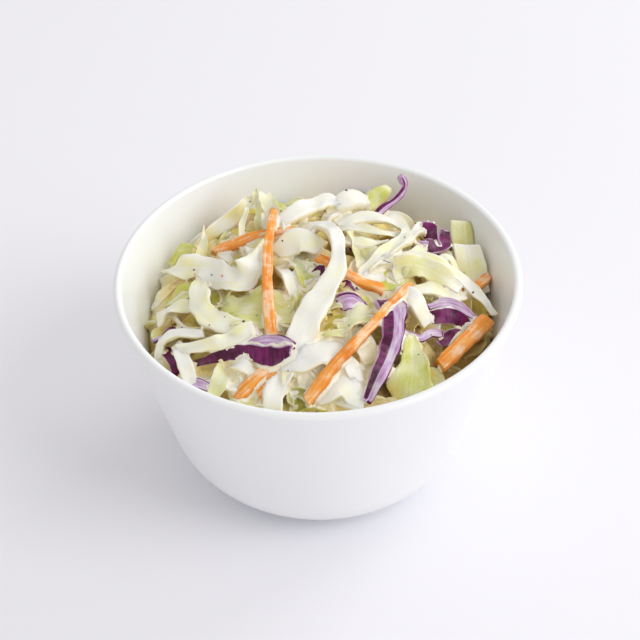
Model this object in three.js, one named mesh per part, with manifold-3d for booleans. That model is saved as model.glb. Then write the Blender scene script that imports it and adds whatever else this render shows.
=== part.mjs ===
// Coleslaw in a small white ceramic bowl: shredded white cabbage, carrot sticks and red cabbage,
// heaped in a straight-sided bowl with a round lip.
// Millimetres, +Z up. The origin is at the centre of the foot ring, on the surface that the bowl stands on.
import * as THREE from "three";
import { mergeVertices } from "three/addons/utils/BufferGeometryUtils.js";
import Module from "manifold-3d";

// The bowl. Its wall thins from the heel up to the lip.
const RIM_RADIUS = 57.8; // to the outside of the lip
const RIM_HEIGHT = 67;
const LIP_WIDTH = 2.5; // the lip is a half round
const WALL = 4; // thickness of the bottom and the heel
const BASE_RADIUS = 23.6; // where the flat underside turns up into the heel
const HEEL_RADIUS = 23; // the round between underside and wall
const FOOT_RING_WIDTH = 5;
const FOOT_RECESS = 0.8; // how far the underside is hollowed inside the foot ring
const BOWL_SEGMENTS = 48;
const ARC_POINTS = 3; // half the steps that each arc of the bowl is split into

// The heap.
const GAP = 0.4; // between the food and the bowl
const MOUND_TOP = 66; // height of the heap's top over the table
const MOUND_FALL = 0.006; // how fast the heap falls away from its top, in millimetres per square millimetre
const MOUND_SLOPE = 0.08; // how much the heap climbs towards the back
const CORE_DEPTH = 2.2; // how far the packed core lies under the heap's outline
const CORE_RINGS = 6;
const CORE_SEGMENTS = 32;
const CORE_ARC_POINTS = 2;
// The core's bumps are waves across x and y, in radians per millimetre, whose x wave sways with y.
const CORE_BUMP = { height: 0.9, x: 0.6, y: 0.5, sway: 2, swayY: 0.25, fade: 6 };

// Shreds that show, each as [first width, last width, thickness, first roll, last roll, path].
// A path is a list of [x, y, lift], with lift measured from the heap's outline.
// A roll in degrees tips the strip about its path.
const CARROT = [
  [3.4, 3.2, 2.8, 10, -10, [[-30, 16.5, 1.5], [-24, 16.5, 2], [-18, 17.5, 2.5], [-7, 18.5, 2]]],
  [2.4, 4, 2.6, 20, -10,
    [[-12.5, 32, 4], [-13, 15.5, 6], [-14, 3.5, 5.2], [-14, -11, 4], [-12.5, -22, 0.5]]],
  [3.6, 3.2, 3, -15, 0, [[-1.5, 6, 1], [9, -2.5, 2], [18, -6.5, 1.5]]],
  [2.8, 3.9, 3, 20, 10, [[25.5, -5.5, 4], [14, -22, 5.2], [5, -32, 4.5], [-3.5, -40, 2]]],
  [4.8, 5, 3.8, -20, -30, [[33, -27.5, 2.5], [40, -19.5, 3.5], [47.5, -9, 3.5]]],
  [3.6, 3.2, 2.8, 20, 0, [[51, 13, 3], [45.5, 4, 2.5], [40.5, -1, 1], [36, -4.5, 0]]],
  [3.6, 3.6, 3, 0, -10, [[-22.5, -36, 0.5], [-18.5, -33.5, 1.5], [-13, -29.5, 0.5]]],
  [3, 2.6, 2.6, -20, -10, [[-17, -34.5, -0.5], [-14, -33, 0.3], [-10.5, -30, -0.5]]],
  [3, 2.4, 2.4, 0, 0, [[-23, 20.5, 0], [-27, 16.5, 0], [-30, 11, -1]]],
];
// Red cabbage: most strips have dark skin on both faces, and the pale ones are cut through the rib.
const RED_SKIN = [
  [5, 5.5, 1.6, -20, -30, [[28, 12, 1], [32, 13, 4], [36, 14.5, 4.5], [38.5, 19, 5], [39, 23, 7]]],
  [4.5, 4, 1.5, -20, -50, [[33, 25, 8], [34, 19.5, 5], [35.5, 15, 1]]],
  [3, 3, 1.6, -30, -30, [[6, -8, -2], [9, -5.5, 0.2], [12, -6, -2]]],
  [5.2, 4, 1.8, -55, -60, [[30, -12.5, 1], [35, -12, 2.8], [39.5, -11.5, 2.8], [43, -12.5, 0.5]]],
  [4, 4, 1.6, -30, -40, [[33, -19.5, 0], [36.5, -17, 1], [40.5, -14, 0]]],
  [2.6, 7, 2.6, -45, -55,
    [[-37, -23, 0.5], [-28.5, -24.5, 1.5], [-23.5, -25, 2],
      [-18, -26.5, 2.8], [-13.5, -28.5, 2.8], [-9, -27.5, 1]]],
  [4.5, 4, 1.6, -20, -20, [[-43.5, -14.5, -1], [-41.5, -20, 0.6], [-39, -25, -1]]],
  [3.6, 3.2, 1.5, -10, -20, [[-40, -8, -0.5], [-43.5, -8, 0.8], [-47, -9, 0]]],
];
const RED_CUT = [
  [3, 1.6, 1.5, -35, -35,
    [[12, 18, -1], [16, 24, 3], [19.5, 29, 5.5], [23.5, 33, 8],
      [26, 35.5, 10.5], [26.8, 37.5, 13], [25.6, 39.5, 16]]],
  [4.2, 3.6, 2.2, -30, -30, [[5.5, -12, 0], [9.5, -11.5, 1.8], [13, -12, 0]]],
  [4, 9, 3.4, -22, -5,
    [[12, -39.5, 1.5], [15.3, -34.5, 4], [18, -30, 4.7], [19.8, -25, 5],
      [20.5, -20, 4.7], [21, -15.5, 3.6], [20.8, -11.5, 1]]],
  [2.8, 2.8, 1.8, -20, -30, [[22.5, -21, 3.5], [27.5, -22, 3.8], [30.5, -19.5, 3.5], [34, -17.5, 2]]],
  [3.4, 3, 1.8, -35, -35, [[31, -10, 2.2], [35, -9, 3.8], [40, -8.2, 3.9], [45.5, -8.5, 1.8]]],
  [3.4, 3, 1.5, -30, -30, [[-36.5, -27.5, -0.5], [-33, -30, 0.5], [-29.5, -32, -0.5]]],
  [4.6, 3.4, 1.8, -45, -45,
    [[-19.5, -23.4, 2.2], [-15.5, -23.8, 3.4], [-11.5, -25, 3.2], [-7.5, -25.8, 1.4]]],
  [3.8, 3.2, 1.6, -40, -40, [[28, 13.5, 2], [31, 12.6, 4.2], [34.5, 14.6, 3.4]]],
];
// Thick ribs of white cabbage.
const RIB = [
  [4.4, 11.6, 3.4, -20, 12,
    [[-5, 18.5, 2], [-1.5, 18, 3.5], [2, 16, 5], [5, 10, 6], [6, 1, 6],
      [5, -6.5, 5.6], [1.5, -12.5, 5.2], [-2.5, -18, 4.8], [-5.5, -23.5, 4], [-7.5, -30, 1]]],
  [8, 7.5, 3, -10, -10, [[-13, -29, 0], [-6, -30, 2.2], [0, -29, 2.4], [4, -28, 0.5]]],
  [6.6, 6, 2.8, 10, 15, [[-8.5, -31.5, 2.4], [-11.5, -37, 2], [-13.5, -41.5, 0]]],
  [5, 5.6, 3.4, -20, -20, [[-14, 20, 1.5], [-8, 24, 3.8], [-2.5, 29, 4.8], [2, 31.5, 5], [6, 33, 4.4]]],
  [8, 8, 7, 0, 0, [[6.5, 32, 2.4], [10.5, 35, 3.8], [13.5, 36.5, 2.6]]],
  [6.5, 5, 4, -10, -20, [[15, 35.5, 2], [18, 39, 4.5], [21, 42.5, 7]]],
  [4.4, 4, 2.4, -20, -20, [[16.5, 27, -0.5], [21, 29.5, 3.4], [26, 28.5, 3.4], [29.5, 25, -0.5]]],
  [4, 3.6, 2.4, -20, 20,
    [[7, 18.5, 3.5], [13, 20.5, 5], [20.5, 20.5, 5.6], [25.5, 18.5, 5.8],
      [25.5, 14, 5.6], [22, 9.5, 5], [16, 3, 3.5], [12, -1, 1.5]]],
  [3, 2.8, 2, -20, -30, [[5.5, 16.5, 3], [12, 15.5, 4.8], [18.5, 14.5, 5.2], [25, 16.5, 4.5]]],
  [3, 2.6, 2, -20, -20, [[7, 12, 3], [14, 10, 4.2], [20.5, 12, 4.8]]],
  [3.4, 3.8, 2.2, 10, -10, [[14.5, -0.5, 2], [24, 10, 5.2], [30, 19.5, 5.5], [34, 27.5, 4.5]]],
  [2.6, 2.8, 2, 0, -10, [[13, 0, 1.5], [22, 5.5, 4], [30, 11.5, 4.2], [33.5, 15.5, 3]]],
  [3.6, 3, 2.4, -20, 0,
    [[23, 4.5, 3], [28.5, 6, 5.2], [35.5, 3.5, 5.8], [42.5, 0.5, 5.4], [47.5, -2.5, 5], [50, -6, 4.2]]],
  [2.8, 3.4, 2.2, -10, -20, [[-46, -19.5, -1], [-44, -15, 3], [-39, -15.5, 4.2], [-32, -18, 4.2]]],
  [4.2, 4.4, 2.6, -10, -10, [[-40, -17, 2], [-38.5, -21, 4.2], [-36.5, -26, 3.8], [-34.5, -32, -0.5]]],
  [4, 5.4, 3, -25, -25, [[-38.5, -20.5, 4], [-30, -23, 5], [-24.5, -23, 5.2], [-18.5, -20.5, 4.6]]],
  [6, 5, 3, -10, -25,
    [[-33, 4.5, 2.5], [-34, -4, 4.8], [-32.5, -11, 5],
      [-27.5, -16.5, 5], [-22.5, -19.5, 4.8], [-17.5, -20, 3]]],
  [3.4, 4, 2.6, 10, 0, [[-11, 3, -0.5], [-9, -3, 2.8], [-6.5, -9.5, -0.5]]],
  [2.8, 2.6, 2.2, 0, 0, [[-22, 16.5, 1.5], [-22, 23, 4], [-20.5, 29.5, 6.5]]],
  [4.2, 2.4, 2.2, -20, -20, [[-24.5, -27, 1], [-20.5, -29.5, 2.8], [-16.5, -32.5, 1]]],
  [4.6, 4.4, 2.6, -20, -25, [[25, -7, 2.5], [32.5, -5, 4.6], [39.5, -5.5, 3]]],
  [6.4, 5.6, 3, -10, 0, [[21.5, -7.5, 1.5], [27, -11, 3.8], [30, -15, 1.5]]],
  [7, 6.5, 2.8, 0, 0, [[10, -21.5, 1], [13, -26, 2.8], [15, -31, 0.5]]],
  [5.4, 6, 2.6, -10, -10, [[2.5, -34, 1.5], [7, -31, 3.2], [10.5, -34.5, 1.5]]],
  [7, 7.5, 3, -10, -10, [[0, -38.5, 0.5], [6, -37, 2.2], [11, -39, 0.5]]],
  [5, 5, 2.6, 0, 0, [[13.5, -40.5, -1.4], [17, -39.5, -0.6], [20.5, -38, -1.4]]],
  [2.8, 2.8, 2.4, 0, 0, [[27.5, -23.5, 1], [28, -27.5, 3], [28.5, -33, 1]]],
  [2.6, 2.6, 2, 0, 0, [[33.5, 6.5, 2], [38, 9.5, 5], [41, 5, 2]]],
  [8.5, 8, 3, -10, -10, [[-11.5, 9, 1], [-5, 11, 3.4], [1, 9, 1.5]]],
  [2.4, 2.4, 1.8, -30, -30, [[-1.5, -24, 0.5], [3, -22.5, 2], [8, -21.5, 1]]],
  [3.8, 3, 2.4, 0, 0, [[-19.5, 12.5, 1.5], [-18.5, 8, 4], [-18, 3, 2]]],
  [4.5, 3.5, 2.6, 0, 10, [[30, 2.5, 1], [36, -0.5, 3], [41, -3.5, 2]]],
];
// Thin leaf: outer pieces are greener.
const LEAF = [
  [6, 11, 1.4, -42, -22,
    [[-46, 13.5, 4.4], [-38.5, 9.5, 4.4], [-32.5, 5.5, 4], [-26.5, -1, 3.6],
      [-21, -3, 4], [-17, 1.5, 4.4], [-16, 8.5, 3]]],
  [5, 4.4, 1.3, -50, -60,
    [[-36, 22.5, 0], [-32, 26.5, 2.4], [-27, 29, 4.2], [-22.5, 33, 6.2], [-19.5, 36, 8]]],
  [5, 1, 1.2, 10, 10, [[-16, 22, 1], [-16.5, 28, 3.5], [-17.5, 34, 6], [-18, 39.5, 9]]],
  [7.5, 5.5, 1.3, 10, 15, [[-12, 18.5, 1], [-12.5, 24, 3], [-13, 30, 5], [-15, 37, 7.5]]],
  [5, 1, 1.2, -10, -10, [[-34.5, 12.5, -3.5], [-34, 17.5, 2.6], [-33.5, 21, 4.8], [-33, 24, 7]]],
  [4.4, 4, 1.2, -20, -20, [[-44, 21.5, 0], [-40, 22.5, 2.4], [-35.5, 21, -1]]],
  [4.4, 4, 1.3, -20, -20, [[-45.5, -5, 1.5], [-40.5, -5.5, 4], [-35, -8, 3]]],
  [9.5, 9, 1.3, 5, 5, [[44, 17, -2.5], [44.8, 23, 2.2], [46, 29.5, 8.5]]],
  [8, 7.5, 1.3, 0, 0, [[44.5, 6, -1.5], [45, 12, 1.2], [45, 19, 5]]],
  [3.5, 14, 1.4, 0, 10, [[25.5, -23, 5], [25.5, -29.5, 3.6], [24.5, -37, 0.5]]],
  [6, 5, 1.3, 10, 10, [[28.5, -29, 0], [33.5, -31.5, 0.8]]],
  [5.4, 5, 1.3, 10, 10, [[-25, -26, 0], [-27.5, -31, 1.6], [-29.5, -35.5, 0]]],
  [4.6, 4.6, 1.2, 0, 0, [[-21.5, -36, 0], [-15.5, -39.5, 0.6]]],
  [5, 4.6, 1.3, 10, 10, [[-9.5, 6, -1], [-5.5, 0.5, 1.4], [-1.5, -5, -1]]],
  [8, 8, 1.3, 10, 10, [[-46, 3.5, -1], [-40, 3, 0.6], [-34, 1, 0]]],
  [15, 14, 1.4, -12, -16, [[-28, -10.5, 0.8], [-18, -12, 2], [-6.5, -13.5, 0.6]]],
  [8, 7, 1.3, 20, 20, [[10.5, 18, 1], [13, 9, 2.6], [13, 0, 0.5]]],
  [6.5, 6, 1.3, 0, 10, [[5.5, -21, 1], [10.5, -17.5, 2.4], [16.5, -14, 0.5]]],
  [5.5, 5.5, 1.2, 0, 0, [[12, -19, 0], [14.5, -29, 0.5]]],
  [3.6, 5, 1.2, 10, 10, [[1, -16, 0.5], [4.5, -12.5, 2], [7.5, -9.5, 0.5]]],
  [8.5, 8.5, 1.3, 0, 0, [[13.5, -3, 0], [22.5, -1, 0.6]]],
  [8.5, 8.5, 1.3, 0, 0, [[12, -11.5, 0], [22, -13.5, 0]]],
  [9, 5, 1.4, -38, -40, [[21.5, 0.5, 3.2], [27.5, 2, 5], [33.5, 0.5, 5.2], [40, -2, 4]]],
];

// Shreds that only fill the heap are laid by rule, from a seeded sequence of draws. Their middles are between
// two radii, their ends are tucked under, one in every few is a thin leaf, and turn, bend, roll and lift are
// drawn from minus to plus these.
const FILL = { count: 38, seed: 7, inner: 17, outer: 46, tuck: 2.4, leafEvery: 3, leaf: 1.3, rib: 2.4 };
const FILL_LENGTH = [14, 26];
const FILL_WIDTH = [3.8, 6.8];
const FILL_SPREAD = { turn: 1, bend: 0.3, roll: 25, lift: 1 };
const SEQUENCE = { factor: 1664525, step: 1013904223, range: 2 ** 32 };

// How each kind of shred is made: a step along it, cells across it, the share of its thickness left at its
// long edges, the share of its width left at its ends, how far its long edges cup upwards and how far they
// wave, in millimetres.
const KIND = {
  carrot: { step: 12, across: 1, edge: 1, end: 0.9, cup: 0, wave: 0 },
  rib: { step: 7, across: 2, edge: 0.35, end: 0.6, cup: 0.35, wave: 0.35 },
  leaf: { step: 6, across: 2, edge: 0.8, end: 0.55, cup: 0.5, wave: 0.9 },
  red: { step: 6, across: 2, edge: 0.7, end: 0.6, cup: 0.4, wave: 0.5 },
  filling: { step: 10, across: 1, edge: 1, end: 0.7, cup: 0, wave: 0.4 },
};
const WAVE_LENGTH = 11;
const MERGE_DISTANCE = 1e-4; // corners nearer than this are one

const UP = new THREE.Vector3(0, 0, 1);
const wasm = await Module();
wasm.setup();

// The outer wall touches the heel's round and the lip's round on their outer sides, and the inner wall
// touches the inner heel's round and the lip's round on their inner sides. Each lean is the angle of a
// wall's normal.
const INNER_HEEL = HEEL_RADIUS - WALL;
const LIP = new THREE.Vector2(RIM_RADIUS - LIP_WIDTH / 2, RIM_HEIGHT - LIP_WIDTH / 2);
const HEEL = new THREE.Vector2(BASE_RADIUS, HEEL_RADIUS);
const heelToLip = LIP.clone().sub(HEEL);
const leanOver = (distance) => heelToLip.angle() - Math.acos(distance / heelToLip.length());
const LEAN = leanOver(HEEL_RADIUS - LIP_WIDTH / 2);
const INNER_LEAN = leanOver(INNER_HEEL + LIP_WIDTH / 2);

// Radius of the bowl's inside at a height.
function innerRadius(z) {
  const wallFoot = HEEL.y + INNER_HEEL * Math.sin(INNER_LEAN);
  if (z < wallFoot) return HEEL.x + Math.sqrt(Math.max(0, INNER_HEEL ** 2 - (HEEL.y - z) ** 2));
  return HEEL.x + INNER_HEEL * Math.cos(INNER_LEAN) - (z - wallFoot) * Math.tan(INNER_LEAN);
}

// Height of the heap's outline over a place in plan.
const outline = (x, y) => MOUND_TOP - MOUND_FALL * (x * x + y * y) + MOUND_SLOPE * y;

// Moves a point that would reach the bowl back to the gap that the food keeps from it.
function keepInBowl(point) {
  const limit = innerRadius(point.z) - GAP;
  const radius = Math.hypot(point.x, point.y);
  if (radius > limit) point.set((point.x * limit) / radius, (point.y * limit) / radius, point.z);
  return point;
}

// A closed three.js geometry as a solid to join.
function solidOf(geometry) {
  geometry.deleteAttribute("normal");
  geometry.deleteAttribute("uv");
  const merged = mergeVertices(geometry, MERGE_DISTANCE);
  const vertProperties = merged.attributes.position.array;
  const triVerts = new Uint32Array(merged.index.array);
  return new wasm.Manifold(new wasm.Mesh({ numProp: 3, vertProperties, triVerts }));
}

function geometryOf(solid) {
  const { numProp, vertProperties, triVerts } = solid.getMesh();
  const geometry = new THREE.BufferGeometry();
  geometry.setAttribute("position", new THREE.BufferAttribute(vertProperties, numProp));
  geometry.setIndex(new THREE.BufferAttribute(triVerts, 1));
  geometry.computeVertexNormals();
  return geometry;
}

function bowl() {
  const profile = new THREE.Path();
  profile.moveTo(0, FOOT_RECESS);
  profile.lineTo(BASE_RADIUS - FOOT_RING_WIDTH - FOOT_RECESS, FOOT_RECESS);
  profile.lineTo(BASE_RADIUS - FOOT_RING_WIDTH, 0);
  profile.absarc(HEEL.x, HEEL.y, HEEL_RADIUS, -Math.PI / 2, LEAN);
  profile.absarc(LIP.x, LIP.y, LIP_WIDTH / 2, LEAN, INNER_LEAN + Math.PI);
  profile.absarc(HEEL.x, HEEL.y, INNER_HEEL, INNER_LEAN, -Math.PI / 2, true);
  profile.lineTo(0, WALL);
  return new THREE.LatheGeometry(profile.getPoints(ARC_POINTS), BOWL_SEGMENTS).rotateX(Math.PI / 2);
}

// Where the packed core's top meets the bowl, in one direction from the axis.
function coreEdge(angle) {
  let radius = RIM_RADIUS - LIP_WIDTH;
  let z = 0;
  for (let pass = 0; pass < 4; pass++) {
    z = outline(radius * Math.cos(angle), radius * Math.sin(angle)) - CORE_DEPTH;
    radius = innerRadius(z) - GAP;
  }
  return { radius, z };
}

// Height of the packed core's top: a little under the heap's outline, with bumps that fade out at its edge.
function coreTop(x, y, share) {
  const { height, sway, swayY, fade } = CORE_BUMP;
  const wave = Math.sin(CORE_BUMP.x * x + sway * Math.sin(swayY * y)) * Math.cos(CORE_BUMP.y * y);
  return outline(x, y) - CORE_DEPTH + height * wave * (1 - share ** fade);
}

// The packed core: it fills the bowl up to its top. The rings of the top start as circles of radius 0 to 1.
function core() {
  const profile = new THREE.Path();
  profile.moveTo(0, WALL + GAP);
  profile.lineTo(BASE_RADIUS, WALL + GAP);
  profile.absarc(HEEL.x, HEEL.y, INNER_HEEL - GAP, -Math.PI / 2, INNER_LEAN);
  const under = profile.getPoints(CORE_ARC_POINTS);
  const top = [];
  for (let ring = CORE_RINGS; ring >= 0; ring--) top.push(new THREE.Vector2(ring / CORE_RINGS, RIM_HEIGHT));
  const geometry = new THREE.LatheGeometry([...under, ...top], CORE_SEGMENTS).rotateX(Math.PI / 2);
  const position = geometry.attributes.position;
  for (let i = 0; i < position.count; i++) {
    if (position.getZ(i) < RIM_HEIGHT) continue;
    const share = Math.hypot(position.getX(i), position.getY(i));
    const angle = Math.atan2(position.getY(i), position.getX(i));
    const edge = coreEdge(angle);
    const x = share * edge.radius * Math.cos(angle);
    const y = share * edge.radius * Math.sin(angle);
    position.setXYZ(i, x, y, coreTop(x, y, Math.min(1, share)));
  }
  return geometry;
}

// A shred: a flat section carried along a smooth path. It narrows at its ends, its long edges are thinner and
// cup upwards, and they wave along its length. Both faces are split into triangles alike, so that they stay
// apart.
function shred(kind, [firstWidth, lastWidth, thickness, firstRoll, lastRoll, path]) {
  const points = path.map(([x, y, lift]) => new THREE.Vector3(x, y, outline(x, y) + lift));
  const curve = new THREE.CatmullRomCurve3(points, false, "catmullrom");
  const length = curve.getLength();
  const steps = Math.max(2, Math.round(length / kind.step));
  const ring = 2 * (kind.across + 1);
  const positions = [];
  for (let i = 0; i <= steps; i++) {
    const v = i / steps;
    const tangent = curve.getTangent(v);
    const roll = THREE.MathUtils.degToRad(THREE.MathUtils.lerp(firstRoll, lastRoll, v));
    const side = new THREE.Vector3().crossVectors(tangent, UP).normalize().applyAxisAngle(tangent, -roll);
    const face = new THREE.Vector3().crossVectors(side, tangent);
    const narrowing = 1 - (1 - kind.end) * Math.abs(2 * v - 1) ** 4;
    const halfWidth = (THREE.MathUtils.lerp(firstWidth, lastWidth, v) / 2) * narrowing;
    for (let j = 0; j < ring; j++) {
      const onTop = j <= kind.across;
      const u = (onTop ? j : ring - 1 - j) * (2 / kind.across) - 1;
      const half = (thickness / 2) * (1 - (1 - kind.edge) * u * u);
      const wave = kind.wave * u * Math.sin((2 * Math.PI * length * v) / WAVE_LENGTH + points[0].x);
      const rise = (onTop ? half : -half) + kind.cup * u * u + wave;
      const point = curve.getPoint(v).addScaledVector(side, u * halfWidth).addScaledVector(face, rise);
      positions.push(...keepInBowl(point));
    }
  }
  const faces = [];
  const quad = (a, b, c, d) => faces.push(a, b, c, a, c, d);
  for (let j = 0; j < kind.across; j++) {
    const last = steps * ring;
    quad(ring - 1 - j, ring - 2 - j, j + 1, j);
    quad(last + j, last + j + 1, last + ring - 2 - j, last + ring - 1 - j);
  }
  for (let i = 0; i < steps; i++) {
    for (let j = 0; j < ring; j++) {
      const k = (j + 1) % ring;
      const [a, b, c, d] = [i * ring + j, i * ring + k, (i + 1) * ring + k, (i + 1) * ring + j];
      if (j <= kind.across) quad(a, b, c, d);
      else quad(b, c, d, a);
    }
  }
  const geometry = new THREE.BufferGeometry();
  geometry.setAttribute("position", new THREE.Float32BufferAttribute(positions, 3));
  geometry.setIndex(faces);
  return geometry;
}

// The shreds that fill the heap: middles on a spiral of even spacing, headings and sizes from the sequence.
function fillingShreds() {
  let state = FILL.seed;
  const draw = (low, high) => {
    state = (state * SEQUENCE.factor + SEQUENCE.step) % SEQUENCE.range;
    return low + ((high - low) * state) / SEQUENCE.range;
  };
  const spread = (most) => draw(-most, most);
  const goldenAngle = Math.PI * (3 - Math.sqrt(5));
  return Array.from({ length: FILL.count }, (_, k) => {
    const area = THREE.MathUtils.lerp(FILL.inner ** 2, FILL.outer ** 2, (k + 0.5) / FILL.count);
    const radius = Math.sqrt(area);
    const angle = k * goldenAngle;
    const [x, y] = [radius * Math.cos(angle), radius * Math.sin(angle)];
    const heading = angle + Math.PI / 2 + spread(FILL_SPREAD.turn);
    const half = draw(...FILL_LENGTH) / 2;
    const [dx, dy] = [half * Math.cos(heading), half * Math.sin(heading)];
    const bend = spread(FILL_SPREAD.bend);
    const width = draw(...FILL_WIDTH);
    const roll = spread(FILL_SPREAD.roll);
    const lift = spread(FILL_SPREAD.lift);
    const path = [
      [x - dx, y - dy, lift - FILL.tuck],
      [x - dy * bend, y + dx * bend, lift],
      [x + dx, y + dy, lift - FILL.tuck],
    ];
    const thickness = k % FILL.leafEvery === 1 ? FILL.leaf : FILL.rib;
    return shred(KIND.filling, [width, width, thickness, roll, roll, path]);
  });
}

// The heap: core and shreds joined, keeping only the one body that hangs together.
function heap() {
  const shreds = [
    ...CARROT.map((row) => shred(KIND.carrot, row)),
    ...[...RED_SKIN, ...RED_CUT].map((row) => shred(KIND.red, row)),
    ...RIB.map((row) => shred(KIND.rib, row)),
    ...LEAF.map((row) => shred(KIND.leaf, row)),
    ...fillingShreds(),
  ];
  const joined = shreds.map(solidOf).reduce((whole, piece) => whole.add(piece), solidOf(core()));
  const bodies = joined.decompose().sort((a, b) => b.volume() - a.volume());
  return geometryOf(bodies[0]);
}

const glaze = new THREE.MeshStandardMaterial({ color: 0xf3f3f4, roughness: 0.28, metalness: 0 });
const cabbage = new THREE.MeshStandardMaterial({ color: 0xece9d2, roughness: 0.35, metalness: 0 });

const bowlMesh = new THREE.Mesh(bowl(), glaze);
bowlMesh.name = "bowl";
const slawMesh = new THREE.Mesh(heap(), cabbage);
slawMesh.name = "coleslaw";

const part = new THREE.Group();
part.add(bowlMesh, slawMesh);
export default part;
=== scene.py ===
"""Coleslaw in a small white ceramic bowl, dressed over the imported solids.

The bowl is a glazed surface of revolution. The food is a packed bed with the shreds laid over it, each a
strip carried along its own path, and the dressing is what a ball of a given size can't reach between them.
Lengths are millimetres unless a name says otherwise; meshes are in metres, +Z up, with the origin under the
foot ring.
"""

import math

import bpy
import numpy as np
import openvdb
from mathutils import Matrix


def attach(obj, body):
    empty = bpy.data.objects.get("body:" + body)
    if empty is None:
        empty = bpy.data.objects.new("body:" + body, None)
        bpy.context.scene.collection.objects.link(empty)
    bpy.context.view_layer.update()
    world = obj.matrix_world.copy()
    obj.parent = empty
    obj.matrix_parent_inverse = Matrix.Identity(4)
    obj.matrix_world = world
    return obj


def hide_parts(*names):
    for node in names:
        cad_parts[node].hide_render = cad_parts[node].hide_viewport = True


bl_info = {
    "name": "Coleslaw in a bowl",
    "version": (1, 0, 0),
    "blender": (4, 5, 0),
    "location": "3D View > Sidebar > Coleslaw",
    "description": "Builds a ceramic bowl of dressed coleslaw around its solids",
    "category": "Object",
}

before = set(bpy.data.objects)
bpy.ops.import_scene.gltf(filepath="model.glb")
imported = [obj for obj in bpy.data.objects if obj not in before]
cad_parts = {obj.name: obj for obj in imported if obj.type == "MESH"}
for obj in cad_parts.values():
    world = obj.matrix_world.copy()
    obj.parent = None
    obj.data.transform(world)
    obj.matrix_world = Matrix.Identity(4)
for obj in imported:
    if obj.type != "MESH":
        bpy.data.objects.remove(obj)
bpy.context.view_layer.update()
MM = 0.001
TURN = 2 * math.pi
GOLDEN_ANGLE = math.pi * (3 - math.sqrt(5))

# The bowl. Its middles are the flat discs under it and inside it, and the recess ends at an angle in
# radians.
RIM_RADIUS = 57.8
RIM_HEIGHT = 67.0
LIP_WIDTH = 2.5
WALL = 4.0
BASE_RADIUS = 23.6
HEEL_RADIUS = 23.0
FOOT_RING_WIDTH = 5.0
FOOT_RECESS = 0.8
FOOT_ROUND = 0.4
RECESS_TURN = 0.25
BASE_MIDDLE = 6.0
FLOOR_MIDDLE = 12.0
BOWL_SIDES = 160
WALL_RINGS = 18

# The heap's outline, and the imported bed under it, which drops further towards the wall.
GAP = 0.4
MOUND_TOP = 66.0
MOUND_FALL = 0.006
MOUND_SLOPE = 0.08
BED_DEPTH = 2.2
EDGE_DROP = 2.4
BED_SIDES = 144
BED_RINGS = 62
BED_HEEL_RINGS = 7
BED_MIDDLE = 0.02
EDGE_STEPS = 4
EDGE_POWER = 8
CALM_POWER = 6
# The bed's lumps, each as (height, size, seed), and its greenness as (middle, drift, size, seed).
BED_LUMPS = ((0.9, 4.5, 21), (0.5, 2.0, 22))
BED_GREEN = (0.5, 0.3, 5.0, 9)

# Shreds, each as [first width, last width, thickness, first roll, last roll, path].
# A path is a list of [x, y, lift] or [x, y, lift, share of the width], with lift measured from the heap's
# outline. A roll in degrees tips the strip about its path.
CARROT = [
    [4, 3.6, 2.8, 10, -10, [[-30, 16.5, 1.5], [-24, 16.5, 2], [-18, 17.5, 2.5], [-7, 18.5, 2]]],
    [2.6, 4.2, 2.6, 20, -10,
     [[-12.5, 32, 4], [-13, 15.5, 6], [-14, 3.5, 5.4], [-14, -11, 4.8], [-13, -19, 3.6], [-12.2, -24, 1.4]]],
    [4, 3.8, 3, -15, 0, [[0.5, 5, 1.2], [9.5, -2.5, 2], [18, -6.5, 1.5]]],
    [2.6, 3.9, 3, 20, 10, [[25.5, -5.5, 4], [14, -22, 5.2], [5, -32, 4.5], [-3.5, -40, 2]]],
    [4.8, 5, 3.8, -20, -30, [[33, -27.5, 2.5], [40, -19.5, 3.5], [47.5, -9, 3.5]]],
    [3.6, 3.2, 2.8, 20, 0, [[51, 13, 3], [45.5, 4, 2.5], [40.5, -1, 1], [36, -4.5, 0]]],
    [4.2, 4.2, 3, 0, -10, [[-22.5, -36, 0.5], [-18.5, -33.5, 1.6], [-13, -29.5, 0.8]]],
    [3.8, 3.4, 2.6, -20, -10, [[-16.8, -35.5, 0.4], [-14, -33.6, 1.6], [-11, -31, 1.2]]],
    [3, 2.4, 2.4, 0, 0, [[-23, 20.5, 0], [-27, 16.5, 0], [-30, 11, -1]]],
    [3.4, 3.2, 2.8, 0, 10, [[-4, 45, -0.5], [4, 44.5, 1], [13, 43.5, 0]]],
    [3.2, 3, 2.6, 0, 0, [[-33, 34, 0], [-27, 38, 0.8], [-20, 41, 0]]],
]
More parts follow.
